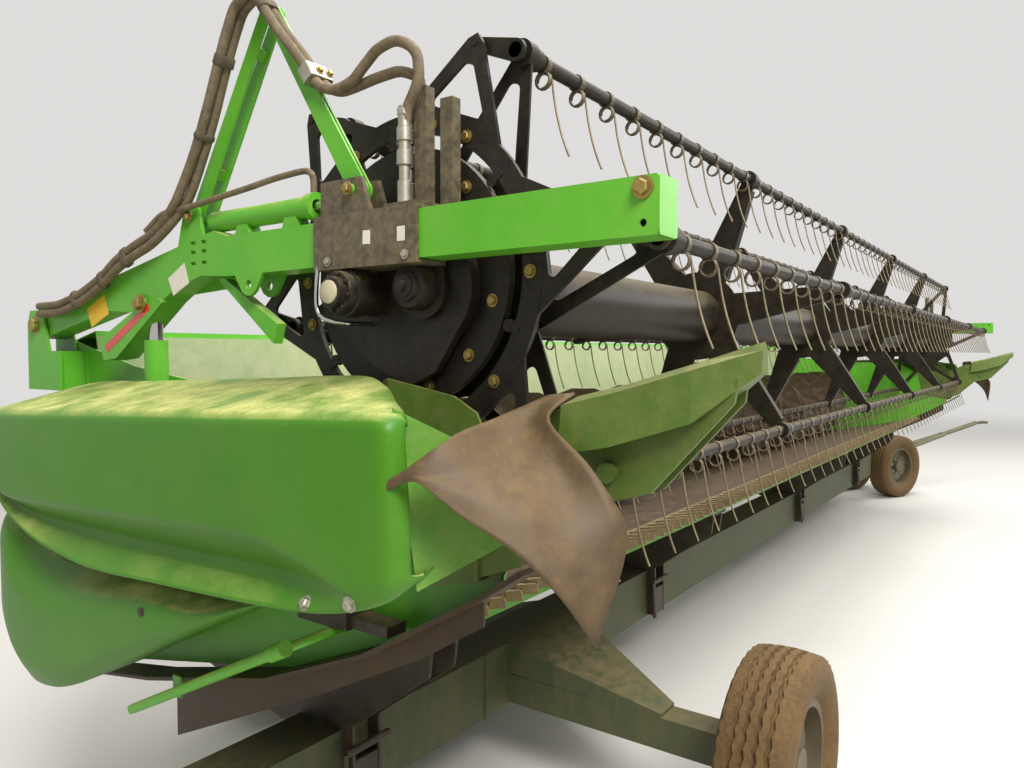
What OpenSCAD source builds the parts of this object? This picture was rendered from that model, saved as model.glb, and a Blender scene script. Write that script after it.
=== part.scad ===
// Cutting header of a combine harvester on its four-wheel transport trailer.
// Lengths are in millimetres and angles in degrees. Every place below is counted from the header:
// x from its middle to its left-hand end, y from the knife to the rear, z up from the floor.
// The place() module then moves the drawing so that the origin is under the middle of its outer box.

/* [Header] */
// Cutting width between the two end sheets
cut_w = 7580; // [7000:10:8000]
// How far the front of the table is tipped up on the trailer
tilt = 12; // [10:1:14]
// Height of the knife above the floor
knife_z = 1015; // [1000:5:1040]
// Radius of the feed auger over its flights
auger_r = 325; // [290:5:330]
// Width of the opening to the feeder house of the combine
feeder_w = 1450; // [1000:10:1800]

/* [Reel] */
// Radius of the circle on which the bats' tubes turn
reel_r = 540; // [520:5:545]
// Radius of the tube in the middle of the reel
reel_tube_r = 99; // [80:1:110]
// Number of bays between the spiders of the reel
bays = 5; // [4:1:6]
// Number of spring tines along a bat in each bay
bay_tines = 10; // [8:1:12]
// Length of a tine below its coil
tine_len = 195; // [170:5:200]

/* [Reel arms] */
// Height of the box section of an arm
arm_h = 103; // [90:1:110]
// Width of the box section of an arm
arm_w = 75; // [60:1:80]
// Length of each link of the hose tower between its pins
tower_len = 570; // [560:1:620]

/* [Trailer] */
// Height of the main beam
beam_h = 242; // [200:1:250]
// Width of the main beam
beam_w = 195; // [160:1:200]
// Distance between the two wheels of the rear axle
rear_track = 2282; // [2200:2:2400]
// How far the steered front axle is turned towards the front of the header
dolly_turn = 24; // [0:1:40]

/* [Wheels] */
// Outer radius of a tyre
tyre_r = 360; // [340:1:360]
// Width of a tyre
tyre_w = 235; // [200:1:240]
// Radius of the rim's flange
rim_r = 218; // [200:1:220]

/* [Hidden] */
$fn = 48;

// Sheet and plate thicknesses
sheet = 4;
plate = 10;
// Gap between a pin and its hole
pin_gap = 0.1;

// Ends of the header
end_x = cut_w / 2;
end_t = 8;
arm_x = end_x + end_t + 6 + arm_w / 2;
shield_in_x = end_x + 100;
shield_out_x = end_x + 400;
shield_t = 8;
divider_tip_y = -884;

// Table and auger, counted back and up from the knife in the tipped frame of the table
auger_a = 833;
auger_b = 336;
trough_r = auger_r + 20;
floor_b = auger_b - trough_r;
back_a = auger_a + trough_r;
back_top_b = 990;
cutterbar_b = 112;
top_beam = [140, 160];
top_beam_b = 850;

// Reel
reel_y = -105;
reel_z = 1827;
reel_end_x = end_x - 100;
bat_r = 17;
bat_end_x = reel_end_x + 37;
bat_angles = [52, 112, 172, 232, 292, 352];
star_t = 8;
bay = 2 * reel_end_x / bays;
coil_r = 21;
wire_r = 2.6;
tine_lean = 14;

// Control star: it turns about its own centre, behind and a little above the reel's
star_off = [95, 32];
star_x = reel_end_x + 45;
disc_r = 300;
star_ring = [330, 380];

// Reel arms: a level front part, a bend, and a rear part that slopes down to the pivot
arm_front_y = -708;
arm_z = 1882;
bend_y = 560;
pivot_y = 1560;
pivot_z = 1777;
pivot_r = 20;
sleeve_y = [-170, 150];
sleeve_wall = 8;
sleeve_gap = 2;
case_x = end_x - 5;

// Hose tower: two links of equal length between a foot on the sleeve and one on the arm
foot_z = 2050;
foot_y = [40, 660];
apex_y = (foot_y[0] + foot_y[1]) / 2;
apex_z = foot_z + sqrt(pow(tower_len, 2) - pow(apex_y - foot_y[0], 2));
tower_angle = acos((apex_y - foot_y[0]) / tower_len);

// Slide cylinders on top of the arms, and lift cylinders below them
slide_z = 2034;
lift_y = 906;
lift_foot_z = 1290;
lift_eye_z = 1826;

// Trailer
beam_y = 587;
beam_top_z = 537;
beam_z = beam_top_z - beam_h;
beam_x = [-4050, 4490];
beam_wall = 6;
axle_x = -2590;
neck_z = 740;
neck_h = 140;
neck_end_x = 5330;
dolly_x = 5060;
dolly_track = 586;
hub_r = 25;
drawbar_len = 2450;
drawbar_hinge = [230, 440];
eye_z = 740;
eye_r = 25;
eye_out_r = 52;
bracket_x = [-3450, -1330, 1450, 3600];

// Outer box, used only to set the origin under its middle
box_x = [-shield_out_x, dolly_x + drawbar_len * cos(dolly_turn) + eye_out_r];
box_y = [divider_tip_y, beam_y + rear_track / 2 + tyre_w / 2];
mid = [(box_x[0] + box_x[1]) / 2, (box_y[0] + box_y[1]) / 2];

// Colours
green = [0.16, 0.42, 0.14];
pale_green = [0.42, 0.52, 0.34];
trailer_green = [0.18, 0.31, 0.20];
black = [0.09, 0.09, 0.09];
dusty_black = [0.16, 0.14, 0.13];
steel = [0.62, 0.60, 0.56];
worn_steel = [0.33, 0.26, 0.20];
rubber = [0.40, 0.36, 0.32];
straw = [0.68, 0.58, 0.42];

// Moves a drawing made about the header to the part's own origin
module place() translate([-mid[0], -mid[1], 0]) children();

// Draws the right-hand end as given and the left-hand end as its mirror image
module both_ends() {
    children();
    mirror([1, 0, 0]) children();
}

// Puts children into the tipped frame of the table, with the knife at its origin
module table() translate([0, 0, knife_z]) rotate([-tilt, 0, 0]) children();

// A point of the table's frame in the upright frame
function table_pt(a, b) = [a * cos(tilt) + b * sin(tilt), knife_z - a * sin(tilt) + b * cos(tilt)];

// A block between two corners
module block(low, high) translate(low) cube(high - low);

// A plate whose outline is given in y and z, from x over thickness t
module side_plate(x, t) translate([x, 0, 0]) rotate([90, 0, 90]) linear_extrude(t) children();

// A plate whose outline is given in x and z, over thickness t about y
module front_plate(y, t) translate([0, y + t / 2, 0]) rotate([90, 0, 0]) linear_extrude(t) children();

// A round bar along x between two places
module bar_x(x0, x1, y, z, r) translate([x0, y, z]) rotate([0, 90, 0]) cylinder(r = r, h = x1 - x0);

// A round bar between any two points
module bar(p, q, r, sides = 24) {
    d = q - p;
    flat = norm([d[0], d[1]]);
    translate(p) rotate([0, atan2(flat, d[2]), atan2(d[1], d[0])]) cylinder(r = r, h = norm(d), $fn = sides);
}

// A solid through rings of points, each ring with the same number of points and turning
// by the right-hand rule about the way from the first ring to the last. The rings of a thin
// strip run down one of its sides and back up the other. Both sides are then folded along the
// same diagonals, so that they keep their distance, and the ends are closed between the two.
module skin(rings, strip = false) {
    n = len(rings[0]);
    m = len(rings);
    points = [for (ring = rings) each ring];
    sides = [for (i = [0:m - 2]) for (j = [0:n - 1])
        let (a = i * n + j, b = i * n + (j + 1) % n, c = (i + 1) * n + (j + 1) % n, d = (i + 1) * n + j)
        each strip && j >= n / 2 ? [[a, d, b], [b, d, c]] : [[a, c, b], [a, d, c]]];
    cap = strip ? [for (j = [0:n / 2 - 2]) each [[j, j + 1, n - 2 - j], [j, n - 2 - j, n - 1 - j]]]
        : [[for (j = [0:n - 1]) j]];
    far_cap = [for (face = cap) [for (j = [len(face) - 1:-1:0]) (m - 1) * n + face[j]]];
    polyhedron(points, concat(sides, cap, far_cap), convexity = 6);
}

// A tube swept along a route of points, with rings of eight points
function unit(v) = v / norm(v);
function ring_at(p, dir, r) =
    let (u = unit(cross(dir, abs(dir[0]) > 0.9 ? [0, 0, 1] : [1, 0, 0])), w = cross(dir, u))
    [for (a = [0:45:315]) p + r * (cos(a) * u + sin(a) * w)];
module hose(route, r) {
    last = len(route) - 1;
    skin([for (i = [0:last])
        ring_at(route[i], unit(route[min(i + 1, last)] - route[max(i - 1, 0)]), r)]);
}

// Trailer

module trailer_beam() color(trailer_green) place() {
    half = beam_w / 2;
    w = beam_wall;
    neck_x = beam_x[1] - 200;
    neck_top = neck_z + neck_h;
    // Box section, open at the rear end, with the neck that rises over the steered axle
    difference() {
        union() {
            block([beam_x[0], beam_y - half, beam_z], [beam_x[1], beam_y + half, beam_top_z]);
            front_plate(beam_y, beam_w) polygon([[neck_x - 260, beam_top_z], [neck_x, neck_top],
                [neck_end_x, neck_top], [neck_end_x, neck_z + 40], [neck_end_x - 90, neck_z],
                [beam_x[1], neck_z], [beam_x[1], beam_top_z]]);
        }
        block([beam_x[0] - 1, beam_y - half + w, beam_z + w],
            [beam_x[1] - w, beam_y + half - w, beam_top_z - w]);
        front_plate(beam_y, beam_w - 2 * w) polygon([[neck_x - 240, beam_top_z - w - 1],
            [neck_x + w, neck_top - w], [neck_end_x - w, neck_top - w], [neck_end_x - w, neck_z + 48],
            [neck_end_x - 96, neck_z + w], [beam_x[1] - w, neck_z + w],
            [beam_x[1] - w, beam_top_z - w - 1]]);
    }
    // Cover plate that joins the two lengths of the beam
    block([-2800, beam_y - half - 6, beam_z - 6], [-2786, beam_y + half + 6, beam_top_z]);
    // Fixed ring of the turntable, with the bore for the king pin
    difference() {
        translate([dolly_x, beam_y, neck_z - 18]) cylinder(r = 165, h = 18);
        translate([dolly_x, beam_y, neck_z - 20]) cylinder(r = hub_r + pin_gap, h = 19);
    }
}

module axle_block(side, half, from_y, to_y) block([axle_x - half, min(from_y, to_y), tyre_r - half],
    [axle_x + half, max(from_y, to_y), tyre_r + half]);

module brace(side, from_y, to_y, wall) hull() {
    block([axle_x - 60 + wall, min(from_y, from_y + side * 4), 420 - 2 * wall],
        [axle_x + 455 - wall, max(from_y, from_y + side * 4), beam_top_z - wall]);
    block([axle_x - 55 + wall, min(to_y, to_y + side * 6), 416 - 2 * wall],
        [axle_x + 55 - wall, max(to_y, to_y + side * 6), 430 - wall]);
}

module trailer_axle() color(trailer_green) place() {
    half = beam_w / 2;
    for (side = [-1, 1]) {
        hub_y = beam_y + side * rear_track / 2;
        near_y = beam_y + side * half;
        end_y = hub_y - side * (tyre_w / 2 + 12);
        // Square tube of the axle, with an end plate for the stub shaft
        difference() {
            axle_block(side, 57, near_y, end_y);
            axle_block(side, 49, near_y - side, end_y - side * 12);
        }
        // Folded brace from the top of the beam out to the axle, open below
        difference() {
            brace(side, near_y, end_y - side * 266, 0);
            brace(side, near_y - side, end_y - side * 272, 6);
        }
        translate([axle_x, end_y, tyre_r]) rotate([-90 * side, 0, 0])
            cylinder(r = hub_r, h = tyre_w / 2 + 40);
    }
}

// One rest that carries the header: two plates round the beam, with a pad for each tube of the frame
module header_rest() {
    half = beam_w / 2;
    for (x = [-60, 48])
        side_plate(x, 12) polygon([[beam_y - half - 45, beam_z + 10], [beam_y - half, beam_z + 10],
            [beam_y - half, beam_top_z], [beam_y + half, beam_top_z], [beam_y + half + 30, beam_top_z - 60],
            [1290, 610], table_pt(1290, -76), table_pt(1200, -76), [beam_y + 160, 640],
            [beam_y - 40, 640], table_pt(228, -106), table_pt(152, -106), [140, 780],
            [beam_y - half - 45, beam_top_z + 20]]);
    table() {
        block([-75, 140, -112], [75, 240, -100]);
        block([-75, 1185, -82], [75, 1305, -70]);
    }
    block([-50, beam_y - half - 43, beam_z + 14], [50, beam_y - half - 33, beam_z + 150]);
    // Latch lever on the front of the rest
    bar([-90, beam_y - half - 48, beam_z + 190], [90, beam_y - half - 48, beam_z + 190], 12);
    bar([-90, beam_y - half - 48, beam_z + 190], [-120, beam_y - half - 75, beam_z + 20], 9);
}

module trailer_brackets() color(black) place()
    for (x = bracket_x) translate([x, 0, 0]) header_rest();

// The steered axle is drawn straight ahead about its king pin and then turned
module dolly() place() translate([dolly_x, beam_y, 0]) rotate([0, 0, -dolly_turn]) children();

module dolly_frame() color(trailer_green) dolly() {
    inner = dolly_track / 2 - tyre_w / 2 - 12;
    translate([0, 0, neck_z - 40]) cylinder(r = 160, h = 21);
    translate([0, 0, neck_z - 19]) cylinder(r = hub_r, h = 16);
    side = [[-100, neck_z - 40], [-60, 405], [-45, 315], [45, 315], [150, 380], [260, 400],
        [260, 480], [150, 520], [110, neck_z - 40]];
    for (y = [-115, 115]) front_plate(y, 14) polygon(side);
    block([-45, -inner, 315], [45, inner, 405]);
    block([-60, -108, 560], [70, 108, 574]);
    for (s = [-1, 1])
        translate([0, s * inner, tyre_r]) rotate([-90 * s, 0, 0]) cylinder(r = hub_r, h = tyre_w / 2 + 40);
    bar([drawbar_hinge[0], -140, drawbar_hinge[1]], [drawbar_hinge[0], 140, drawbar_hinge[1]], 14, 48);
}

module drawbar() color(trailer_green) dolly() {
    h = drawbar_hinge;
    slope = (eye_z - h[1]) / (drawbar_len - h[0] - 200);
    join_x = 1500;
    join_z = h[1] + slope * (join_x - h[0]);
    end_x2 = drawbar_len - 40;
    difference() {
        union() {
            for (s = [-1, 1]) {
                translate([h[0], s * 78, h[1]]) rotate([90, 0, 0]) cylinder(r = 30, h = 40, center = true);
                bar([h[0], s * 78, h[1]], [join_x, s * 22, join_z], 26, 4);
            }
            bar([join_x - 60, 0, join_z - slope * 60], [end_x2 - 160, 0, eye_z], 30, 4);
            block([end_x2 - 190, -22, eye_z - 15], [end_x2, 22, eye_z + 15]);
            translate([drawbar_len, 0, eye_z - 15]) cylinder(r = eye_out_r, h = 30);
            translate([700, 0, h[1] + slope * (700 - h[0]) - 8]) cube([60, 130, 16], center = true);
        }
        translate([drawbar_len, 0, eye_z - 20]) cylinder(r = eye_r, h = 40);
        translate([h[0], 0, h[1]]) rotate([90, 0, 0]) cylinder(r = 14 + pin_gap, h = 300, center = true);
    }
}

// A wheel is drawn with its axis along y, its outer side towards negative y
module wheel_at(name) {
    if (name == "rear_right") place() translate([axle_x, beam_y - rear_track / 2, tyre_r]) children();
    if (name == "rear_left") place() translate([axle_x, beam_y + rear_track / 2, tyre_r])
        rotate([0, 0, 180]) children();
    if (name == "front_right") dolly() translate([0, -dolly_track / 2, tyre_r]) children();
    if (name == "front_left") dolly() translate([0, dolly_track / 2, tyre_r]) rotate([0, 0, 180]) children();
}

// Section of the tyre: five ribs round the tread, then a rounded wall down to the bead
module tyre() color(black) rotate([90, 0, 0]) rotate_extrude($fn = 72) {
    half = tyre_w / 2;
    difference() {
        union() {
            translate([rim_r - 14, -half + 35]) square([tyre_r - rim_r - 30, tyre_w - 70]);
            translate([rim_r - 14, -half + 45]) square([tyre_r - rim_r + 14, tyre_w - 90]);
            for (s = [-1, 1]) translate([tyre_r - 78, s * (half - 60)]) circle(r = 60, $fn = 32);
        }
        for (y = [-54, -18, 18, 54]) translate([tyre_r - 14, y - 5]) square([20, 10]);
        translate([rim_r - 30, -half + 70]) square([18, tyre_w - 140]);
    }
}

// Rim: a dished disc in a flanged ring, with a hub bored for the axle
module rim() color(straw) rotate([90, 0, 0]) {
    half = 85;
    difference() {
        union() {
            rotate_extrude($fn = 72) polygon([[rim_r - 26, -half], [rim_r, -half], [rim_r, -half + 8],
                [rim_r - 15, -half + 14], [rim_r - 15, half - 14], [rim_r, half - 8], [rim_r, half],
                [rim_r - 26, half], [rim_r - 26, 30], [rim_r - 80, 44], [90, 20], [60, 20], [60, 70],
                [0, 70], [0, -60], [60, -60], [60, 8], [90, 8], [rim_r - 80, 32], [rim_r - 26, 18]]);
        }
        translate([0, 0, -70]) cylinder(r = hub_r + pin_gap, h = 110);
        for (a = [0:60:300]) rotate(a) translate([145, 0, 10]) cylinder(r = 16, h = 50);
    }
}

module tyre_rear_right() wheel_at("rear_right") tyre();
module tyre_rear_left() wheel_at("rear_left") tyre();
module tyre_front_right() wheel_at("front_right") tyre();
module tyre_front_left() wheel_at("front_left") tyre();
module rim_rear_right() wheel_at("rear_right") rim();
module rim_rear_left() wheel_at("rear_left") rim();
module rim_front_right() wheel_at("front_right") rim();
module rim_front_left() wheel_at("front_left") rim();

// Table

module table_floor() color(worn_steel) place() table() difference() {
    side_plate(-end_x, cut_w) {
        translate([cutterbar_b, floor_b - sheet]) square([auger_a - cutterbar_b, sheet]);
        translate([auger_a, auger_b]) difference() {
            circle(r = trough_r + sheet, $fn = 96);
            circle(r = trough_r, $fn = 96);
            translate([-500, -500]) square([500, 1000]);
            translate([-500, 0]) square([1000, 500]);
        }
    }
    block([-feeder_w / 2, auger_a + 150, 60], [feeder_w / 2, back_a + 20, auger_b + 1]);
}

module back_sheet() color(pale_green) place() table() difference() {
    block([-end_x, back_a, auger_b], [end_x, back_a + sheet, back_top_b]);
    block([-feeder_w / 2, back_a - 10, auger_b - 1], [feeder_w / 2, back_a + 20, 640]);
}

// A square tube along the whole header, closed at its ends by the end sheets
module box_tube(low, high, wall = 4) difference() {
    block([-end_x, low[0], low[1]], [end_x, high[0], high[1]]);
    block([-end_x - 1, low[0] + wall, low[1] + wall], [end_x + 1, high[0] - wall, high[1] - wall]);
}

module header_frame() color(green) place() table() {
    rear_a = back_a + sheet;
    // Top beam, lower rear tube and front tube
    box_tube([rear_a, top_beam_b], [rear_a + top_beam[0], top_beam_b + top_beam[1]]);
    box_tube([1185, -70], [1305, 50]);
    box_tube([140, -100], [240, floor_b - sheet]);
    // Head of the docking frame
    block([-feeder_w / 2 - 20, rear_a, 640], [feeder_w / 2 + 20, rear_a + 70, 720]);
}

// Ribs under the floor and uprights behind the back sheet, which join the tubes
module frame_uprights() color(green) place() table() {
    rear_a = back_a + sheet;
    for (x = [-3500:700:3500])
        translate([x, 0, 0]) side_plate(-3, 6) polygon([[240, -100], [240, floor_b - sheet],
            [auger_a, floor_b - sheet], [1185, floor_b - 20], [1185, -70], [700, -70]]);
    // Uprights, heavier beside the feeder opening
    for (x = [-3350, -2500, -1650, 1650, 2500, 3350])
        block([x - 20, rear_a, 50], [x + 20, rear_a + 60, top_beam_b]);
    for (s = [-1, 1]) {
        x = s * (feeder_w / 2 + 60);
        block([x - 40, rear_a, 50], [x + 40, rear_a + 90, top_beam_b]);
    }
}

// Outline of an end sheet in y and z
end_outline = [table_pt(1325, -70), [354, 858], [0, 1000], [-330, 1190], [-330, 1225], [-110, 1260],
    [-60, 1480], [120, 1590], [700, 1590], [1100, 1640], table_pt(1325, 1010)];

module end_sheets() color(green) place() both_ends() {
    shaft = table_pt(auger_a, auger_b);
    difference() {
        side_plate(-end_x - end_t, end_t) polygon(end_outline);
        bar_x(-end_x - 20, -end_x + 20, shaft[0], shaft[1], 40);
    }
    // Foot pin of the lift cylinder
    bar_x(-arm_x - 48, -end_x - end_t, lift_y, lift_foot_z, 14);
}

module arm_posts() color(green) place() both_ends() {
    side = [[1400, 1560], [1620, 1560], [1620, pivot_z], [1600, pivot_z + 50], [1520, pivot_z + 50],
        [1500, pivot_z], [1470, 1690], [1400, 1690]];
    out_x = -arm_x - arm_w / 2 - 14;
    side_plate(out_x, plate) polygon(side);
    side_plate(-end_x - end_t - 5, 5) polygon(side);
    block([out_x, 1420, 1560], [-end_x - end_t, 1610, 1690]);
    bar_x(out_x - 15, -end_x - end_t, pivot_y, pivot_z, pivot_r);
}

// Cutterbar: a long bar with pointed guards, slotted for the knife
guard_step = 76.2;
guard_count = floor(cut_w / guard_step) - 1;
guard_x0 = -(guard_count - 1) * guard_step / 2;

module cutterbar() color(straw) place() table() {
    block([-end_x, 18, -22], [end_x, cutterbar_b, -12]);
    block([-end_x, 96, -12], [end_x, cutterbar_b, floor_b]);
    for (i = [0:guard_count - 1])
        translate([guard_x0 + i * guard_step, 0, 0]) difference() {
            translate([0, 0, -22]) linear_extrude(27)
                polygon([[-14, 40], [-11, -20], [-2, -95], [2, -95], [11, -20], [14, 40]]);
            block([-20, -45, -12], [20, 50, -3]);
        }
}

module knife() color(steel) place() table() {
    block([guard_x0 - 38, 8, -9.5], [-guard_x0 + 38, 30, -4.5]);
    translate([0, 0, -9.5]) linear_extrude(5)
        for (i = [0:guard_count - 1]) translate([guard_x0 + i * guard_step, 0])
            polygon([[-38, 10], [-7, -40], [7, -40], [38, 10]]);
}

// Auger: a tube with flights that lead in from both ends, and fingers in the middle
flight_pitch = 560;
flight_in_x = feeder_w / 2 - 60;
auger_tube_r = 205;
auger_wall = 5;
flight_steps = 16;

module flight(length) {
    steps = ceil(length / flight_pitch * flight_steps);
    root_r = auger_tube_r - 0.5;
    ring = function (i) let (a = i * 360 / flight_steps, x = i * length / steps)
        [for (p = [[root_r, 0], [root_r, 6], [auger_r, 6], [auger_r, 0]])
            [x + p[1], p[0] * cos(a), p[0] * sin(a)]];
    skin([for (i = [0:steps]) ring(i)]);
}

module auger() color(worn_steel) place() table() translate([0, auger_a, auger_b]) {
    difference() {
        rotate([0, 90, 0]) cylinder(r = auger_tube_r, h = cut_w - 30, center = true, $fn = 64);
        rotate([0, 90, 0]) cylinder(r = auger_tube_r - auger_wall, h = cut_w - 60, center = true, $fn = 64);
        // Holes in the end plates
        for (a = [0:60:300]) rotate([a, 0, 0]) translate([0, 120, 0]) rotate([0, 90, 0])
            cylinder(r = 38, h = cut_w, center = true);
    }
    both_ends() bar_x(-end_x - 13, -end_x + 60, 0, 0, 30);
    length = end_x - 20 - flight_in_x;
    both_ends() translate([-end_x + 20, 0, 0]) flight(length);
    for (i = [0:15]) translate([-600 + i * 80, 0, 0]) rotate([i * 84, 0, 0])
        translate([0, 0, auger_tube_r - 2]) cylinder(r = 8, h = auger_r - auger_tube_r + 2);
}

// End shield: sections along y, each [y, bottom of the lip, top of the lip, bottom of the bulge,
// height of the outer crease, height at the end sheet, outer x, depth of the groove over the lip]
shield_rows = [[-402, 1352, 1362, 1372, 1528, 1548, 4030, 4], [-394, 1300, 1320, 1340, 1562, 1580, 4100, 5],
    [-366, 1264, 1284, 1300, 1576, 1598, 4150, 6], [-290, 1231, 1256, 1275, 1573, 1620, 4173, 7],
    [-160, 1204, 1256, 1304, 1569, 1634, 4187, 30], [0, 1188, 1248, 1332, 1562, 1630, 4190, 52],
    [340, 1169, 1236, 1317, 1550, 1620, 4190, 64], [650, 1155, 1232, 1305, 1538, 1610, 4190, 70],
    [900, 1176, 1235, 1298, 1528, 1602, 4188, 70], [1082, 1216, 1250, 1291, 1521, 1598, 4182, 60],
    [1300, 1290, 1310, 1330, 1510, 1575, 4150, 20], [1440, 1340, 1352, 1364, 1490, 1545, 4080, 6],
    [1480, 1380, 1388, 1396, 1460, 1520, 3990, 4]];
// Last section of the hollow inside it, which has no groove
shield_inner_end = [1290, 1300, 1312, 1326, 1500, 1566, 4112, 1];
// Lobe below it: each [y, lowest z, top of its face, foot of its shelf, outer x]
lobe_rows = [[20, 1172, 1178, 1186, 4040], [90, 1150, 1160, 1170, 4105], [330, 1045, 1106, 1122, 4130],
    [454, 988, 1104, 1120, 4132], [741, 855, 1062, 1100, 4132], [907, 776, 1036, 1100, 4132],
    [1026, 740, 1033, 1104, 4132], [1119, 730, 1045, 1118, 4130], [1202, 754, 1070, 1140, 4125],
    [1281, 801, 1134, 1186, 4115], [1385, 900, 1190, 1236, 4080], [1450, 990, 1200, 1240, 3990]];

// Ring of the shield in x and z, w inside its outer face
function shield_ring(row, w) =
    let (y = row[0], low = row[1], lip = row[2], bulge = row[3], crease = row[4], top = row[5],
        x = -row[6] + w, deep = x + row[7], in = min(22, row[7]), in_x = -shield_in_x + 2 * w)
    [[in_x, y, low + 8 + w], [x + 40, y, low + w], [x + 4, y, low + (lip - low) * 0.25 + w / 2],
        [x + 4, y, low + (lip - low) * 0.8 - w / 4], [x + in, y, lip - w / 2],
        [deep, y, lip + (bulge - lip) * 0.15 - w / 2], [deep, y, bulge - (bulge - lip) * 0.15 + w / 2],
        [x + in / 2, y, bulge + w / 2], [x, y, bulge + 16 + w / 2], [x, y, crease - 14],
        [x + 22, y, crease + 8 - w], [in_x, y, top - w]];

function lobe_ring(row, w) =
    let (y = row[0], low = row[1], face = row[2], shelf = row[3], x = -row[4] + w,
        in_x = -shield_in_x + 2 * w)
    [[in_x, y, low + 10 + w], [x + 34, y, low + w], [x, y, low + (face - low) * 0.2 + w / 2],
        [x, y, face - (face - low) * 0.2], [x + 14, y, face - w / 2], [x + 70, y, shelf - w],
        [in_x, y, shelf + 8 - w]];

// Skin through the rings less the same rings a wall's thickness inside, open towards the header
module end_shields() color(green) place() both_ends() {
    last = len(shield_rows) - 1;
    difference() {
        skin([for (row = shield_rows) shield_ring(row, 0)]);
        skin([for (i = [1:last - 2])
            shield_ring(i < last - 2 ? shield_rows[i] : shield_inner_end, shield_t)]);
    }
    end = len(lobe_rows) - 1;
    difference() {
        skin([for (row = lobe_rows) lobe_ring(row, 0)]);
        skin([for (i = [2:end - 1]) lobe_ring(lobe_rows[i], shield_t / 2)]);
    }
    // Inner panel behind the gap between the two
    side_plate(-shield_in_x - 150, shield_t) polygon([[-60, 1205], [215, 1100], [960, 1050], [1390, 1180],
        [1390, 1330], [1082, 1260], [640, 1180], [0, 1215]]);
    // Brackets to the end sheet
    for (p = [[0, 1400], [1150, 1400]]) bar_x(-shield_in_x, -end_x - end_t, p[0], p[1], 22);
}

point_x = -end_x - 60;
function trough_ring(row, wall, shift) =
    let (y = row[0] + shift, top = row[1] - wall, low = row[2] - wall, w = row[3] - wall)
    [[point_x - w, y, low], [point_x - w * 0.8, y, top - 14], [point_x, y, top],
        [point_x + w * 0.8, y, top - 14], [point_x + w, y, low]];

// Divider: a side plate, a folded point that is stowed pointing up, and its brackets
module dividers() color(green) place() both_ends() {
    side_plate(-shield_in_x + 36, 6) polygon([[-48, 1626], [-240, 1592], [-300, 1560], [-420, 1330],
        [-360, 1224], [-132, 1170]]);
    // Folded trough, open below: each row is y, highest z, lowest z and half width
    rows = [[divider_tip_y, 1700, 1650, 16], [-780, 1668, 1566, 56], [-640, 1626, 1520, 74],
        [-540, 1602, 1500, 78]];
    difference() {
        skin([for (row = rows) trough_ring(row, 0, 0)]);
        skin([for (i = [0:3]) trough_ring(rows[i], 9, i == 0 ? 20 : i == 3 ? 5 : 0)]);
    }
    // Hinge brackets under the trough
    for (x = [point_x - 30, point_x + 22]) side_plate(x, 8) polygon([[-330, 1232], [-330, 1500],
        [-480, 1572], [-700, 1590], [-850, 1640], [-845, 1600], [-700, 1440], [-560, 1400], [-425, 1268]]);
    bar_x(point_x - 45, point_x + 45, -620, 1470, 18);
    block([point_x - 40, -330, 1225], [-end_x - end_t, -322, 1500]);
    // Flange on the end sheet
    side_plate(-end_x - end_t - 6, 6) polygon([[-330, 1232], [-330, 1500], [-30, 1500], [-30, 1280]]);
}

// Rubber flap draped in front of the shield: stations from its front end back to its curled tip,
// each five points [x, y, z] from the upper edge down to the lower
flap_rows = [
    [[-3850, -530, 1608], [-3945, -532, 1572], [-3965, -640, 1480], [-3955, -695, 1380],
        [-4020, -675, 1210]],
    [[-3850, -465, 1600], [-3950, -516, 1546], [-3985, -599, 1452], [-4030, -630, 1380],
        [-4075, -639, 1302]],
    [[-3975, -450, 1569], [-3995, -490, 1512], [-4040, -539, 1462], [-4090, -578, 1417],
        [-4115, -582, 1370]],
    [[-4120, -455, 1543], [-4125, -470, 1515], [-4130, -484, 1485], [-4145, -500, 1457],
        [-4155, -504, 1425]],
    [[-4178, -408, 1496], [-4182, -419, 1491], [-4184, -425, 1485], [-4185, -428, 1481],
        [-4186, -429, 1476]],
    [[-4190, -332, 1453], [-4190, -334, 1450], [-4189, -337, 1447], [-4189, -340, 1444],
        [-4188, -343, 1441]]];
flap_t = [5.5, 1, -5.5];

module divider_flaps() color(rubber) place() both_ends()
    skin([for (row = flap_rows) concat([for (p = row) p + flap_t], [for (i = [4:-1:0]) row[i]])],
        strip = true);

// Worn plates under the two ends of the table, from the divider back along the lower edge
module wear_plates() color(worn_steel) place() both_ends() {
    side_plate(-shield_in_x, shield_in_x - end_x - end_t) polygon([[-440, 1255], [-330, 1182],
        [0, 992], [354, 850], [900, 720], [1200, 668], [1200, 676], [900, 730], [356, 860], [4, 1002],
        [-326, 1192], [-430, 1262]]);
    // Narrow skid below the end sheet
    side_plate(-end_x - 40, 6) polygon([[848, 546], [221, 830], [-116, 997], [-300, 1110], [-300, 1172],
        [0, 997], [354, 855], [848, 732]]);
    side_plate(-end_x - 40, 38) polygon([[848, 546], [221, 830], [-116, 997], [-116, 1003], [221, 836],
        [848, 552]]);
}

// Gearbox of each knife under the end shield, with its arm to the knife head
module knife_drives() color(dusty_black) place() both_ends() {
    block([-shield_in_x + 8, 60, 1040], [-end_x - end_t, 230, 1200]);
    bar_x(-shield_in_x + 2, -shield_in_x + 10, 150, 1120, 60);
    block([-shield_in_x + 20, -60, 1045], [-end_x - end_t - 12, 60, 1070]);
}

module adjusting_rods() color(green) place() both_ends() {
    bar([-4020, 739, 729], [-4020, 130, 1021], 13);
    bar([-4020, 150, 1012], [-4020, 100, 1036], 19);
    bar_x(-4030, -end_x - end_t, 116, 1028, 11);
    bar_x(-4030, -shield_in_x, 739, 729, 12);
    side_plate(-shield_in_x - 6, 6) polygon([[720, 715], [758, 715], [758, 775], [720, 775]]);
}

// Reel arms

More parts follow.
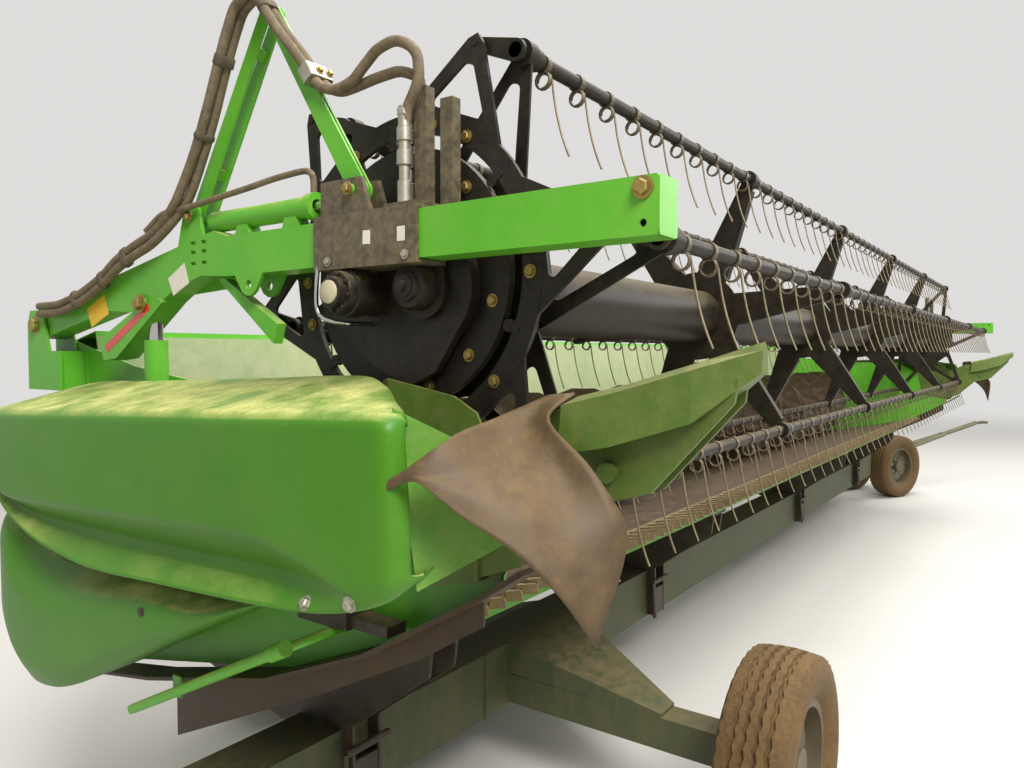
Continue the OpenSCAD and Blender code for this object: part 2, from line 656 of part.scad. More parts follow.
arm_out = arm_x + arm_w / 2;
arm_in = arm_x - arm_w / 2;

module reel_arms() color(green) place() both_ends() {
    wall = 6;
    difference() {
        union() {
            block([-arm_out, arm_front_y, arm_z], [-arm_in, bend_y - 60, arm_z + arm_h]);
            // Rear part, from the bend down to the pivot
            side_plate(-arm_out, arm_w) polygon([[bend_y - 61, arm_z], [bend_y - 61, arm_z + arm_h],
                [bend_y, 2004], [bend_y + 60, 1994], [pivot_y + 8, pivot_z + 46],
                [pivot_y - 8, pivot_z - 46],
                [lift_y + 200, 1812], [lift_y + 40, 1802], [lift_y - 40, 1802], [lift_y - 140, 1850],
                [bend_y + 60, 1890]]);
            bar_x(-arm_out, -arm_in, pivot_y, pivot_z, 46);
            // Heads of the pin that holds the lift cylinder
            bar_x(-arm_out - 8, -arm_in + 5, lift_y, lift_eye_z, 18);
            // Pair of lugs under the arm and the safety prop stowed behind them
            for (x = [-arm_out, -arm_in - 10])
                side_plate(x, 10) polygon([[350, arm_z + 4], [470, arm_z + 4], [438, 1838], [420, 1828],
                    [400, 1828], [384, 1838]]);
            side_plate(-arm_x - 14, 28) polygon([[575, 1880], [545, 1880], [330, 1756], [345, 1706]]);
            // Ears for the tower's rear foot
            for (x = [-arm_out, -arm_in - 10])
                side_plate(x, 10) polygon([[foot_y[1] - 60, 1970], [foot_y[1] + 70, 1955],
                    [foot_y[1] + 32, foot_z + 24], [foot_y[1] - 32, foot_z + 24]]);
            // Plate on the inside that stiffens the bend
            side_plate(-arm_in, 8) polygon([[bend_y - 160, arm_z + 4], [bend_y - 160, 1985],
                [bend_y, 2010], [bend_y + 240, 1975], [bend_y + 240, 1850], [bend_y, arm_z - 20]]);
        }
        block([-arm_out + wall, arm_front_y - 1, arm_z + wall],
            [-arm_in - wall, bend_y - 70, arm_z + arm_h - wall]);
        bar_x(-arm_out - 1, -arm_in + 1, pivot_y, pivot_z, pivot_r + pin_gap);
        // Hole in each lug, and the two bolt holes at the open end
        bar_x(-arm_out - 1, -arm_in + 1, 411, 1856, 11);
        for (z = [arm_z + 22, arm_z + 82]) bar_x(-arm_out - 1, -arm_in + 1, arm_front_y + 26, z, 7);
        // Rows of slots in the plates at the bend
        for (y = [590, 640], z = [1920, 1950, 1975])
            block([-arm_out - 1, y, z], [-arm_out + 7, y + 24, z + 9]);
        // Slot that takes the eye of the lift cylinder
        block([-arm_x - 20, lift_y - 60, 1780], [-arm_x + 20, lift_y + 60, 1862]);
        for (x = [-arm_out - 1, -arm_in + 9 - 20])
            bar_x(x, x + 22, foot_y[1], foot_z, 12 + pin_gap);
    }
}

module slide_barrels() color(green) place() both_ends() {
    difference() {
        union() {
            bar([-arm_x, 190, slide_z], [-arm_x, 600, slide_z], 27, 48);
            bar([-arm_x, 190, slide_z], [-arm_x, 212, slide_z], 33, 48);
        }
        bar([-arm_x, 189, slide_z], [-arm_x, 590, slide_z], 16.5, 48);
    }
    // Saddles on the arm
    for (y = [240, 430]) side_plate(-arm_x - 20, 40) polygon([[y, arm_z + arm_h],
        [y + 60, arm_z + arm_h], [y + 50, slide_z - 20], [y + 10, slide_z - 20]]);
}

module slide_rods() color(steel) place() both_ends() {
    bar([-arm_x, 142, slide_z], [-arm_x, 560, slide_z], 11, 48);
    bar([-arm_x, 550, slide_z], [-arm_x, 576, slide_z], 16, 48);
}

module sleeves() color(black) place() both_ends() {
    g = sleeve_gap;
    w = sleeve_gap + sleeve_wall;
    difference() {
        union() {
            block([-arm_out - w, sleeve_y[0], arm_z - w], [-arm_in + w, sleeve_y[1], arm_z + arm_h + w]);
            // Bracket for the tower's front foot and the slide rod
            for (x = [-arm_x - 32, -arm_x + 20])
                side_plate(x, 12) polygon([[-20, arm_z + arm_h + w - 1], [140, arm_z + arm_h + w - 1],
                    [140, foot_z + 26], [foot_y[0] - 30, foot_z + 26]]);
            block([-arm_x - 32, 122, arm_z + arm_h + w - 1], [-arm_x + 32, 142, foot_z + 26]);
            // Two uprights and a cross plate that carry the valves
            for (row = [[-arm_in - 30, -150, 2255], [-arm_in + 2, -196, 2232]])
                block([row[0], row[1], arm_z + arm_h + w - 1], [row[0] + 28, row[1] + 34, row[2]]);
            block([-arm_x - 30, -160, arm_z + arm_h + w - 1], [-arm_in + w, -60, arm_z + arm_h + w + 11]);
        }
        block([-arm_out - g, sleeve_y[0] - 1, arm_z - g], [-arm_in + g, sleeve_y[1] + 1, arm_z + arm_h + g]);
        bar_x(-arm_x - 40, -arm_x + 40, foot_y[0], foot_z, 12 + pin_gap);
    }
}

// Bearing plates of the reel on both ends: a teardrop hung from the sleeve
module chain_case() color(black) place() both_ends() {
    x = -case_x;
    difference() {
        union() {
            side_plate(x, 22) polygon([[-110, 2000], [190, 2000], [225, 1880], [205, 1770], [60, 1650],
                [-53, 1606], [-130, 1640], [-215, 1760], [-225, 1850], [-180, 1940]]);
            bar_x(x, x + 34, reel_y, reel_z, 130);
            // Foot that bolts to the sleeve
            block([-arm_in + sleeve_gap + sleeve_wall, -110, 1880], [x + 1, 150, 1990]);
        }
        bar_x(x + 4, x + 40, reel_y, reel_z, 45 + pin_gap);
    }
}

module reel_motor() color(black) place() {
    my = 60;
    mz = 1818;
    valve_z = arm_z + arm_h + sleeve_gap + sleeve_wall + 11;
    bar_x(-case_x - 118, -case_x, my, mz, 46);
    bar_x(-case_x - 135, -case_x - 118, my, mz, 30);
    bar_x(-case_x - 90, -case_x - 60, my, mz, 52);
    // Sprocket cover on the reel's shaft
    bar_x(-case_x - 60, -case_x, reel_y, reel_z, 42);
    bar_x(-case_x - 72, -case_x - 60, reel_y, reel_z, 24);
    // Valves on the sleeve, each a stack of hexagons
    for (row = [[-arm_x - 12, -105], [-arm_x + 18, -90]]) translate([row[0], row[1], 0]) {
        translate([0, 0, valve_z]) cylinder(r = 13, h = 46, $fn = 6);
        translate([0, 0, 2050]) cylinder(r = 10, h = 105, $fn = 24);
        translate([0, 0, 2090]) cylinder(r = 14, h = 26, $fn = 6);
        translate([0, 0, 2140]) cylinder(r = 14, h = 24, $fn = 6);
    }
}

module cam_disc() color(black) place() difference() {
    cy = reel_y + star_off[0];
    cz = reel_z + star_off[1];
    bar_x(-star_x - 14, -star_x + 6, cy, cz, disc_r);
    bar_x(-star_x - 20, -star_x + 20, reel_y, reel_z, 60);
}

// Control star: a ring that runs on rollers round the disc, with an arm to each crank
module control_star() color(dusty_black) place() {
    cy = reel_y + star_off[0];
    cz = reel_z + star_off[1];
    difference() {
        union() {
            bar_x(-star_x - 10, -star_x + 2, cy, cz, star_ring[1]);
            for (a = bat_angles) translate([-star_x - 10, cy, cz]) rotate([a, 0, 0]) side_plate(1, 10)
                polygon([[star_ring[1] - 34, -150], [reel_r + 4, -22], [reel_r + 20, 0], [reel_r + 4, 22],
                    [star_ring[1] - 34, 150]]);
        }
        bar_x(-star_x - 20, -star_x + 20, cy, cz, star_ring[0]);
        for (a = bat_angles) translate([-star_x - 10, cy, cz]) rotate([a, 0, 0]) {
            translate([-5, reel_r, 0]) rotate([0, 90, 0]) cylinder(r = 9.5, h = 30);
            side_plate(-5, 30) offset(r = 12, $fn = 16) offset(delta = -12) polygon([[star_ring[1] + 8, -88],
                [reel_r - 46, -14], [reel_r - 46, 14], [star_ring[1] + 8, 88]]);
        }
    }
    for (a = [22:60:352]) translate([-star_x - 12, cy, cz]) rotate([a, 0, 0]) {
        translate([0, (disc_r + star_ring[0]) / 2 + 1, 0]) rotate([0, 90, 0]) cylinder(r = 13.5, h = 16);
        translate([0, star_ring[0] - 14, -10]) cube([3, 30, 20]);
    }
}

// Link of the hose tower, welded to its foot pin; at the apex the inner link holds the middle of
// the pin and the outer link holds its two ends
tower_pin_r = 10;
module tower_link(side) {
    foot = foot_y[side];
    x = side == 0 ? 6 : 18;
    lean = side == 0 ? tower_angle : 180 - tower_angle;
    translate([-arm_x, foot, foot_z]) rotate([lean, 0, 0]) {
        for (s = [-1, 1]) {
            side_plate(s * x - 3, 6)
                polygon([[0, -26], [tower_len, -20], [tower_len, 20], [0, 26]]);
            translate([s * x - 4, 0, 0]) rotate([0, 90, 0]) cylinder(r = 26, h = 8);
            translate([s * x - 4, tower_len, 0]) rotate([0, 90, 0]) cylinder(r = 20, h = 8);
        }
        for (d = [120, tower_len - 120]) translate([-x, d, -12]) cube([2 * x, 30, 24]);
    }
    if (side == 0) bar_x(-arm_x - 12, -arm_x + 12, apex_y, apex_z, tower_pin_r);
    if (side == 1) for (s = [-1, 1]) translate([-arm_x + s * 22, apex_y, apex_z]) rotate([0, s * 90, 0])
        cylinder(r = tower_pin_r, h = 8);
    bar_x(-arm_x - arm_w / 2 - 6, -arm_x + arm_w / 2 + 6, foot, foot_z, 12);
}

module tower_rear() color(green) place() tower_link(1);
module tower_front() color(green) place() tower_link(0);

// Lift cylinders under the arms
module lift_barrels() color(green) place() both_ends() difference() {
    union() {
        bar([-arm_x, lift_y, lift_foot_z + 20], [-arm_x, lift_y, 1720], 33, 48);
        bar_x(-arm_x - 20, -arm_x + 20, lift_y, lift_foot_z, 30);
    }
    bar([-arm_x, lift_y, lift_foot_z + 70], [-arm_x, lift_y, 1721], 20.2, 48);
    bar_x(-arm_x - 30, -arm_x + 30, lift_y, lift_foot_z, 14 + pin_gap);
}

module lift_rods() color(steel) place() both_ends() {
    bar([-arm_x, lift_y, 1380], [-arm_x, lift_y, lift_eye_z - 10], 20, 48);
    bar_x(-arm_x - 14, -arm_x + 14, lift_y, lift_eye_z, 24);
    bar_x(-arm_x - 18, -arm_x + 18, lift_y, lift_eye_z, 11.5);
}

// Reel

module reel_tube() color(dusty_black) place() {
    difference() {
        bar_x(-reel_end_x + 20, reel_end_x - 20, reel_y, reel_z, reel_tube_r, $fn = 64);
        bar_x(-reel_end_x + 32, reel_end_x - 32, reel_y, reel_z, reel_tube_r - 4, $fn = 64);
        for (a = [0:90:270]) translate([0, reel_y, reel_z]) rotate([a, 0, 0])
            bar_x(-reel_end_x, reel_end_x, 70, 0, 14);
    }
    // Stub shafts in the two bearings
    both_ends() bar_x(-case_x + 5, -reel_end_x + 60, reel_y, reel_z, 45);
}

// Spider: a round flange with six tapered arms; the two end ones are stars of inverted V plates
module spider(end_star) {
    hub = end_star ? 250 : 170;
    difference() {
        union() {
            rotate([0, 90, 0]) cylinder(r = hub, h = star_t, center = true, $fn = 64);
            for (a = bat_angles) rotate([a, 0, 0]) {
                w = end_star ? 128 : 62;
                side_plate(-star_t / 2 + 1, star_t - 2)
                    polygon([[hub - 24, -w], [reel_r, -22], [reel_r, 22], [hub - 24, w]]);
                translate([0, reel_r, 0]) rotate([0, 90, 0])
                    cylinder(r = 30, h = star_t + 24, center = true);
                // Folded edges of the tapered arm
                if (!end_star) for (s = [-1, 1]) side_plate(star_t / 2 - 2, 34)
                    polygon([[hub + 2, s * 59], [reel_r - 34, s * 24], [reel_r - 34, s * 20],
                        [hub + 2, s * 54]]);
            }
        }
        rotate([0, 90, 0]) cylinder(r = reel_tube_r, h = 60, center = true, $fn = 64);
        for (a = bat_angles) rotate([a, 0, 0]) {
            translate([0, reel_r, 0]) rotate([0, 90, 0])
                cylinder(r = bat_r + pin_gap, h = 80, center = true);
            // Cut-out with round corners that leaves two legs
            if (end_star) side_plate(-20, 40) offset(r = 14, $fn = 16) offset(delta = -14)
                polygon([[272, -78], [reel_r - 62, -14], [reel_r - 62, 14], [272, 78]]);
        }
    }
}

module reel_spiders() color(dusty_black) place()
    for (i = [0:bays]) translate([-reel_end_x + i * bay, reel_y, reel_z])
        spider(i == 0 || i == bays);

// Spring tine: a coil under the tube, and a wire that bends back on its way down
module tine() {
    coil_z = -bat_r - coil_r + 3;
    knee = [-coil_r - tine_len * 0.6 * sin(tine_lean * 0.6), -tine_len * 0.6];
    tip = [-coil_r - tine_len * sin(tine_lean), -tine_len - bat_r];
    side = [wire_r, 0];
    side_plate(-6, 12) translate([0, coil_z]) difference() {
        circle(r = coil_r, $fn = 8);
        circle(r = coil_r - 5, $fn = 6);
    }
    side_plate(-wire_r, 2 * wire_r) polygon([[-coil_r + 1, coil_z + 5], [-coil_r + 4, coil_z - 2],
        knee + side, tip + side, tip - side, knee - side, [-coil_r - 2, coil_z - 2]]);
}

// Bat: a tube with a crank at its right-hand end and hanging spring tines
module bat(index) color(straw) place() translate([0, reel_y + reel_r * cos(bat_angles[index]),
        reel_z + reel_r * sin(bat_angles[index])]) {
    difference() {
        bar_x(-bat_end_x, reel_end_x + 30, 0, 0, bat_r);
        bar_x(-bat_end_x + 14, reel_end_x + 31, 0, 0, bat_r - 3);
    }
    for (i = [0:bays - 1], k = [0:bay_tines - 1])
        translate([-reel_end_x + i * bay + (k + 0.5) * bay / bay_tines, 0, 0]) tine();
    // Crank with its pin in the control star
    rotate([atan2(star_off[1], star_off[0]), 0, 0]) {
        reach = norm(star_off);
        side_plate(-bat_end_x, 12) polygon([[0, -24], [reach, -14], [reach, 14], [0, 24]]);
        bar_x(-bat_end_x - 1, -bat_end_x + 13, reach, 0, 16);
        bar_x(-star_x - 12, -bat_end_x, reach, 0, 9);
    }
}

module bat_1() bat(0);
module bat_2() bat(1);
module bat_3() bat(2);
module bat_4() bat(3);
module bat_5() bat(4);
module bat_6() bat(5);

// Hoses, each held along its whole route

hose_r = 13;
arm_hose = [[-3905, 1500, 1840], [-3905, 1300, 1890], [-3905, 1106, 1950], [-3905, 900, 2010],
    [-3905, 800, 2040], [-3890, 740, 2080]];
tower_dir = [0, cos(tower_angle), sin(tower_angle)];

module hoses_arm() color(black) place()
    for (i = [0, 1]) hose([for (p = arm_hose) p + [0, 0, 34 * i]], hose_r);

module hoses_tower_rear() color(black) place()
    for (i = [0, 1]) hose([for (d = [60, 200, 400, tower_len - 40])
        [-arm_x - 40 - i * 30, foot_y[1] - d * tower_dir[1] + 30, foot_z + d * tower_dir[2] + 24]], hose_r);

module hoses_tower_front() color(black) place()
    for (i = [0, 1]) hose([for (d = [tower_len - 30, 400, 260, 160])
        [-arm_x - 40 - i * 30, foot_y[0] + d * tower_dir[1] - 20, foot_z + d * tower_dir[2] + 30]], hose_r);

module hoses_sleeve() color(black) place()
    for (i = [0, 1]) hose([[-arm_x + 40 * i, 120, 2330], [-arm_x + 40 * i, 80, 2400 + 20 * i],
        [-arm_x + 40 * i, 0, 2410 + 30 * i], [-arm_x + 40 * i, -60, 2340], [-arm_x + 40 * i, -50, 2200],
        [-arm_x + 40 * i, -40, 2000]], hose_r);

trailer_beam();
trailer_axle();
trailer_brackets();
header_frame();
frame_uprights();
back_sheet();
table_floor();
end_sheets();
cutterbar();
knife();
end_shields();
dividers();
divider_flaps();
wear_plates();
knife_drives();
adjusting_rods();
arm_posts();
auger();
reel_arms();
slide_barrels();
tower_rear();
sleeves();
reel_motor();
chain_case();
cam_disc();
slide_rods();
tower_front();
control_star();
reel_tube();
reel_spiders();
bat_1();
bat_2();
bat_3();
bat_4();
bat_5();
bat_6();
lift_barrels();
lift_rods();
dolly_frame();
drawbar();
tyre_rear_right();
tyre_rear_left();
tyre_front_right();
tyre_front_left();
rim_rear_right();
rim_rear_left();
rim_front_right();
rim_front_left();
hoses_arm();
hoses_tower_rear();
hoses_tower_front();
hoses_sleeve();
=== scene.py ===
import math

import bpy
import numpy as np
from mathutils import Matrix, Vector


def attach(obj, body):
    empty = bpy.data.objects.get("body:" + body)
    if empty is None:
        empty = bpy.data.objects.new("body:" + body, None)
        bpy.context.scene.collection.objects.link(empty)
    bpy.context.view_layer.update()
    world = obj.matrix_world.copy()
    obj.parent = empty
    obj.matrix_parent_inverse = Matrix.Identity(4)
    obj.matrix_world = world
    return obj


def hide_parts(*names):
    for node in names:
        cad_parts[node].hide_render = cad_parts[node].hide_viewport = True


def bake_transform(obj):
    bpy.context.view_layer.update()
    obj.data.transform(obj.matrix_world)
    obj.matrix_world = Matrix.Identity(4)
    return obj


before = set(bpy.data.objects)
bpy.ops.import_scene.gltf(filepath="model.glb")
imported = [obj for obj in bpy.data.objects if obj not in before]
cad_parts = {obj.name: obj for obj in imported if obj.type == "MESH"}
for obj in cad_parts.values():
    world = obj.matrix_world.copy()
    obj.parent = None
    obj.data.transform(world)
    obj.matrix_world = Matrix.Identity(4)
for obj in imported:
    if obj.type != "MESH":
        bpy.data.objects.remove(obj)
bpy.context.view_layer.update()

# Camera, floor and lamps
# The camera stands in front of the right-hand end at eye height and looks along the header.
# A pale matt floor and a white surround stand for a plain studio with large soft lamps.


def linear(code):
    """The linear colour of an sRGB hex value."""
    parts = [int(code[i:i + 2], 16) / 255 for i in (0, 2, 4)]
    return [c / 12.92 if c <= 0.04045 else ((c + 0.055) / 1.055) ** 2.4 for c in parts] + [1.0]


def add(tree, kind, values=(), links=(), **settings):
    """Adds one node to a tree with its settings, its input values and the sockets that feed it."""
    made = tree.nodes.new(kind)
    for name, value in settings.items():
        setattr(made, name, value)
    for socket, value in dict(values).items():
        made.inputs[socket].default_value = value
    for socket, source in dict(links).items():
        tree.links.new(source, made.inputs[socket])
    return made


def rays(tree, first, *others):
    """A socket that is one for rays of light of the named kinds, and zero for the rest."""
    path = add(tree, "ShaderNodeLightPath")
    found = path.outputs[first]
    for kind in others:
        either = add(tree, "ShaderNodeMath", {}, {0: found, 1: path.outputs[kind]}, operation="MAXIMUM")
        found = either.outputs[0]
    return found


scene = bpy.context.scene
scene.view_settings.view_transform = "Standard"
background, background_light = linear("E9E8E6"), 0.9

camera_data = bpy.data.cameras.new("photo_camera")
camera_data.lens = 27.14
camera_data.sensor_width = 36
camera_data.clip_end = 200
camera = bpy.data.objects.new("photo_camera", camera_data)
camera.location = (-6.670093, -1.75075, 1.68)
camera.rotation_euler = [math.radians(a) for a in (87.77, 0, -54.55)]
scene.collection.objects.link(camera)
scene.camera = camera

half_floor = 60
floor_corners = [(x * half_floor, y * half_floor, 0) for x, y in ((-1, -1), (1, -1), (1, 1), (-1, 1))]
floor_mesh = bpy.data.meshes.new("studio_floor")
floor_mesh.from_pydata(floor_corners, [], [(0, 1, 2, 3)])
floor = bpy.data.objects.new("studio_floor", floor_mesh)
scene.collection.objects.link(floor)
# Painted concrete: even and matt near the object, and the colour of the background further off
matt = bpy.data.materials.new("pale_floor")
matt.use_nodes = True
tree = matt.node_tree
concrete = tree.nodes["Principled BSDF"]
concrete.inputs["Base Color"].default_value = linear("CFCBC4")
concrete.inputs["Roughness"].default_value = 0.8
fade_from, fade_to = 7.0, 20.0  # metres from the middle
far = add(tree, "ShaderNodeVectorMath", {}, {0: add(tree, "ShaderNodeTexCoord").outputs["Object"]},
          operation="LENGTH")
far = add(tree, "ShaderNodeMapRange", {1: fade_from, 2: fade_to}, {0: far.outputs["Value"]},
          interpolation_type="SMOOTHSTEP")
far = add(tree, "ShaderNodeMath", {}, {0: far.outputs[0], 1: rays(tree, "Is Camera Ray", "Is Glossy Ray")},
          operation="MULTIPLY")
glow = add(tree, "ShaderNodeEmission", {"Color": background, "Strength": background_light})
blend = add(tree, "ShaderNodeMixShader", {}, {0: far.outputs[0], 1: concrete.outputs[0], 2: glow.outputs[0]})
tree.links.new(blend.outputs[0], tree.nodes["Material Output"].inputs["Surface"])
floor_mesh.materials.append(matt)

world = bpy.data.worlds.new("studio")
scene.world = world
world.use_nodes = True
tree = world.node_tree
tree.nodes.clear()
soft = add(tree, "ShaderNodeBackground", {"Color": linear("F1F1EE"), "Strength": 0.34})
pale = add(tree, "ShaderNodeBackground", {"Color": background, "Strength": background_light})
seen = rays(tree, "Is Camera Ray", "Is Glossy Ray", "Is Transmission Ray")
sky = add(tree, "ShaderNodeMixShader", {}, {0: seen, 1: soft.outputs[0], 2: pale.outputs[0]})
add(tree, "ShaderNodeOutputWorld", {}, {0: sky.outputs[0]})

lamps = [  # name, place, point it is aimed at, size in metres, watts
    ("key_lamp", (-9, -6.5, 8.5), (-3, 0, 1), 4.0, 1350),
    ("top_lamp", (0, -1, 9), (0, 0, 1), 9.0, 1250),
    ("far_lamp", (9, -6, 6), (4, 0, 1), 5.0, 450),
]
for name, place, aim, size, watts in lamps:
    data = bpy.data.lights.new(name, "AREA")
    data.size = size
    data.energy = watts
    lamp = bpy.data.objects.new(name, data)
    lamp.location = place
    lamp.rotation_euler = (Vector(aim) - Vector(place)).to_track_quat("-Z", "Y").to_euler()
    scene.collection.objects.link(lamp)

# Trailer beam, axle, steered axle and drawbar
# Welded box sections of mild steel, sprayed with a dull dark green paint that has weathered.
# Field dirt lies on whatever faces up and has run down the sides in streaks.


def finish(name, paint, second, dust, cover=0.35, settled=0.8, rough=0.45, peel=0.15, grain=4.5,
           patch=385, metallic=0.0, lacquer=0.0, streak=1.0, ior=1.5, tilt=0.25):
    """A worn surface: two tones of its own colour in patches, and dust that settles on upward faces.
    cover is the dust on every face, settled the dust on level ones, and tilt how far a face leans back
    before dust stays on it. patch and grain are millimetres across, streak is how much longer than wide
    a patch is, and peel is the depth of the fine bumps. Real dust is finer than any grain here, which is
    drawn as coarse as it needs to show."""
    made = bpy.data.materials.new(name)
    made.use_nodes = True
    t = made.node_tree
    shader = t.nodes["Principled BSDF"]
    place = add(t, "ShaderNodeTexCoord").outputs["Object"]
    squeezed = add(t, "ShaderNodeMapping", {"Scale": (1, 1, 1 / streak)}, {"Vector": place})
    # Three sizes of noise: broad patches, clouds a seventh of their size, and grains
    patches = add(t, "ShaderNodeTexNoise", {"Scale": 1000 / patch, "Detail": 6.0, "Roughness": 0.62},
                  {"Vector": squeezed.outputs[0]})
    clouds = add(t, "ShaderNodeTexNoise", {"Scale": 7000 / patch, "Detail": 5.0, "Roughness": 0.68},
                 {"Vector": squeezed.outputs[0]})
    grains = add(t, "ShaderNodeTexNoise", {"Scale": 1000 / grain, "Detail": 3.0, "Roughness": 0.6},
                 {"Vector": place})
    tone = add(t, "ShaderNodeMapRange", {1: 0.38, 2: 0.66}, {0: patches.outputs[0]})
    own = add(t, "ShaderNodeMix", {6: linear(paint), 7: linear(second)}, {0: tone.outputs[0]},
              data_type="RGBA")
    # Dust follows how level the face is, and is broken up by the clouds and the grains; on the end shields
    # its pale colour on top is partly a painted highlight of the light from above
    up = add(t, "ShaderNodeSeparateXYZ", {}, {0: add(t, "ShaderNodeNewGeometry").outputs["Normal"]})
    level = add(t, "ShaderNodeMapRange", {1: tilt, 2: 0.95, 3: cover, 4: settled}, {0: up.outputs[2]})
    cloudy = add(t, "ShaderNodeMapRange", {1: 0.36, 2: 0.62, 3: 0.25, 4: 1.0}, {0: clouds.outputs[0]})
    speck = add(t, "ShaderNodeMapRange", {1: 0.42, 2: 0.6, 3: 0.72, 4: 1.0}, {0: grains.outputs[0]})
    mask = add(t, "ShaderNodeMath", {}, {0: level.outputs[0], 1: cloudy.outputs[0]}, operation="MULTIPLY")
    mask = add(t, "ShaderNodeMath", {}, {0: mask.outputs[0], 1: speck.outputs[0]}, operation="MULTIPLY",
               use_clamp=True)
    colour = add(t, "ShaderNodeMix", {7: linear(dust)}, {0: mask.outputs[0], 6: own.outputs[2]},
                 data_type="RGBA")
    # Dust is matt, whatever lies under it
    gloss = add(t, "ShaderNodeMapRange", {3: rough, 4: 0.9}, {0: mask.outputs[0]})
    bump = add(t, "ShaderNodeBump", {"Strength": peel, "Distance": 0.001}, {"Height": grains.outputs[0]})
    t.links.new(colour.outputs[2], shader.inputs["Base Color"])
    t.links.new(gloss.outputs[0], shader.inputs["Roughness"])
    t.links.new(bump.outputs[0], shader.inputs["Normal"])
    shader.inputs["Metallic"].default_value = metallic
    shader.inputs["Coat Weight"].default_value = lacquer
    if metallic < 0.5:
        shader.inputs["IOR"].default_value = ior
    return made


def dress(material, *names):
    """Puts a material on CAD nodes."""
    for name in names:
        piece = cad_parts[name]
        piece.data.materials.clear()
        piece.data.materials.append(material)


# Old sprayed paint: a dull olive green in two tones, with dirt drawn down it in streaks
trailer_paint = finish("weathered_dark_green_paint", "2C3F26", "3B4829", "6E5F3E", cover=0.45, settled=1.0,
                       rough=0.5, patch=312.5, streak=3.0)
dress(trailer_paint, "trailer_beam", "trailer_axle", "dolly_frame", "drawbar")

# Header rests on the trailer
# Bent steel plates that are bolted round the beam and carry the header.
# They are painted black, dusty all over and rubbed where the header slides on.

# Brushed black paint: half matt, nearly hidden by brown dust on top
rest_paint = finish("dusty_black_paint", "14120E", "1F1B15", "6E5F42", cover=0.32, settled=0.9)
dress(rest_paint, "trailer_brackets")

# Wheels
# Implement tyres of black rubber with ribs, caked with dry soil, on beige steel rims.
# Each is held to its hub by six zinc plated nuts.

# Moulded rubber under dry soil: no shine at all, and brown in two tones
tyre_rubber = finish("soiled_tyre_rubber", "43311A", "574220", "785C33", cover=0.65, settled=0.9, rough=0.8,
                     grain=3.3, patch=111, peel=0.5)
# Sprayed enamel: still a little sheen between the patches of soil
rim_paint = finish("beige_rim_enamel", "5A533F", "4B4432", "665639", cover=0.5, patch=143)
# Zinc plate, plain grey and dulled by dust: it glints at the corners of the nuts
zinc_white = finish("white_zinc_plate", "B4B0A2", "969284", "A89E84", cover=0.3, settled=0.7, rough=0.32,
                    metallic=0.85, grain=2.5, patch=33.3)

# Where the frame's origin, the middle of the whole part, lies from the middle of the knife, in millimetres
frame_middle = (1580.093, 480.75)


def at(x, y, z):
    """A place in header millimetres, from the knife's middle and up from the floor, in the frame's metres."""
    return Vector(((x - frame_middle[0]) / 1000, (y - frame_middle[1]) / 1000, z / 1000))


def build(name, body, parts, material, sharp=50):
    """A piece from parts of (corners in header millimetres, faces), which rides on a CAD body if one is
    named, and on none otherwise; edges that turn by more than some degrees stay sharp."""
    points, faces = [], []
    for corners, sides in parts:
        start = len(points)
        points += [at(*corner) for corner in corners]
        faces += [[start + i for i in side] for side in sides]
    mesh = bpy.data.meshes.new(name)
    mesh.from_pydata(points, [], faces)
    mesh.materials.append(material)
    mesh.shade_smooth()
    mesh.set_sharp_from_angle(angle=math.radians(sharp))
    made = bpy.data.objects.new(name, mesh)
    scene.collection.objects.link(made)
    if body:
        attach(made, body)
    return made


def shell(rings, ends="capped"):
    """A part through rings of points: capped at both ends, joined round into a loop, or an open skin."""
    count, turns = len(rings[0]), len(rings)
    sides = [[i * count + j, i * count + (j + 1) % count, (i + 1) % turns * count + (j + 1) % count,
              (i + 1) % turns * count + j]
             for i in range(turns - (ends != "joined")) for j in range(count - (ends == "open"))]
    if ends == "capped":
        last = (turns - 1) * count
        sides += [list(range(count - 1, -1, -1)), [last + j for j in range(count)]]
    corners = np.array([point for ring in rings for point in ring], float)
    if ends != "open":
        # A closed part whose faces point inwards has a negative volume
        fans = [corners[[side[0], side[k], side[k + 1]]] for side in sides for k in range(1, len(side) - 1)]
        if sum(np.linalg.det(fan - corners[0]) for fan in fans) < 0:
            sides = [side[::-1] for side in sides]
    return [tuple(point) for point in corners], sides


def tree_of(name, inputs):
    """A Geometry Nodes tree with named inputs, and the sockets that they come in by."""
    tree = bpy.data.node_groups.new(name, "GeometryNodeTree")
    tree.interface.new_socket("Geometry", in_out="INPUT", socket_type="NodeSocketGeometry")
    for title, kind in inputs:
        tree.interface.new_socket(title, in_out="INPUT", socket_type="NodeSocket" + kind)
    tree.interface.new_socket("Geometry", in_out="OUTPUT", socket_type="NodeSocketGeometry")
    return tree, add(tree, "NodeGroupInput").outputs


def grown(name, body, tree, values, points, **attributes):
    """The plain mesh that a tree makes from points in header millimetres, as a piece on a CAD body."""
    mesh = bpy.data.meshes.new(name)
    mesh.from_pydata([at(*point) for point in points], [], [])
    for title, rows in attributes.items():
        if np.ndim(rows) == 2:
            mesh.attributes.new(title, "FLOAT_VECTOR", "POINT").data.foreach_set("vector", np.ravel(rows))
        else:
            mesh.attributes.new(title, "FLOAT", "POINT").data.foreach_set("value", np.ravel(rows))
    made = bpy.data.objects.new(name, mesh)
    scene.collection.objects.link(made)
    growth = made.modifiers.new("growth", "NODES")
    growth.node_group = tree
    for item in tree.interface.items_tree:
        if item.name in values:
            growth[item.identifier] = values[item.name]
    graph = bpy.context.evaluated_depsgraph_get()
    full = bpy.data.meshes.new_from_object(made.evaluated_get(graph))
    made.modifiers.clear()
    made.data = full
    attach(made, body)
    return made


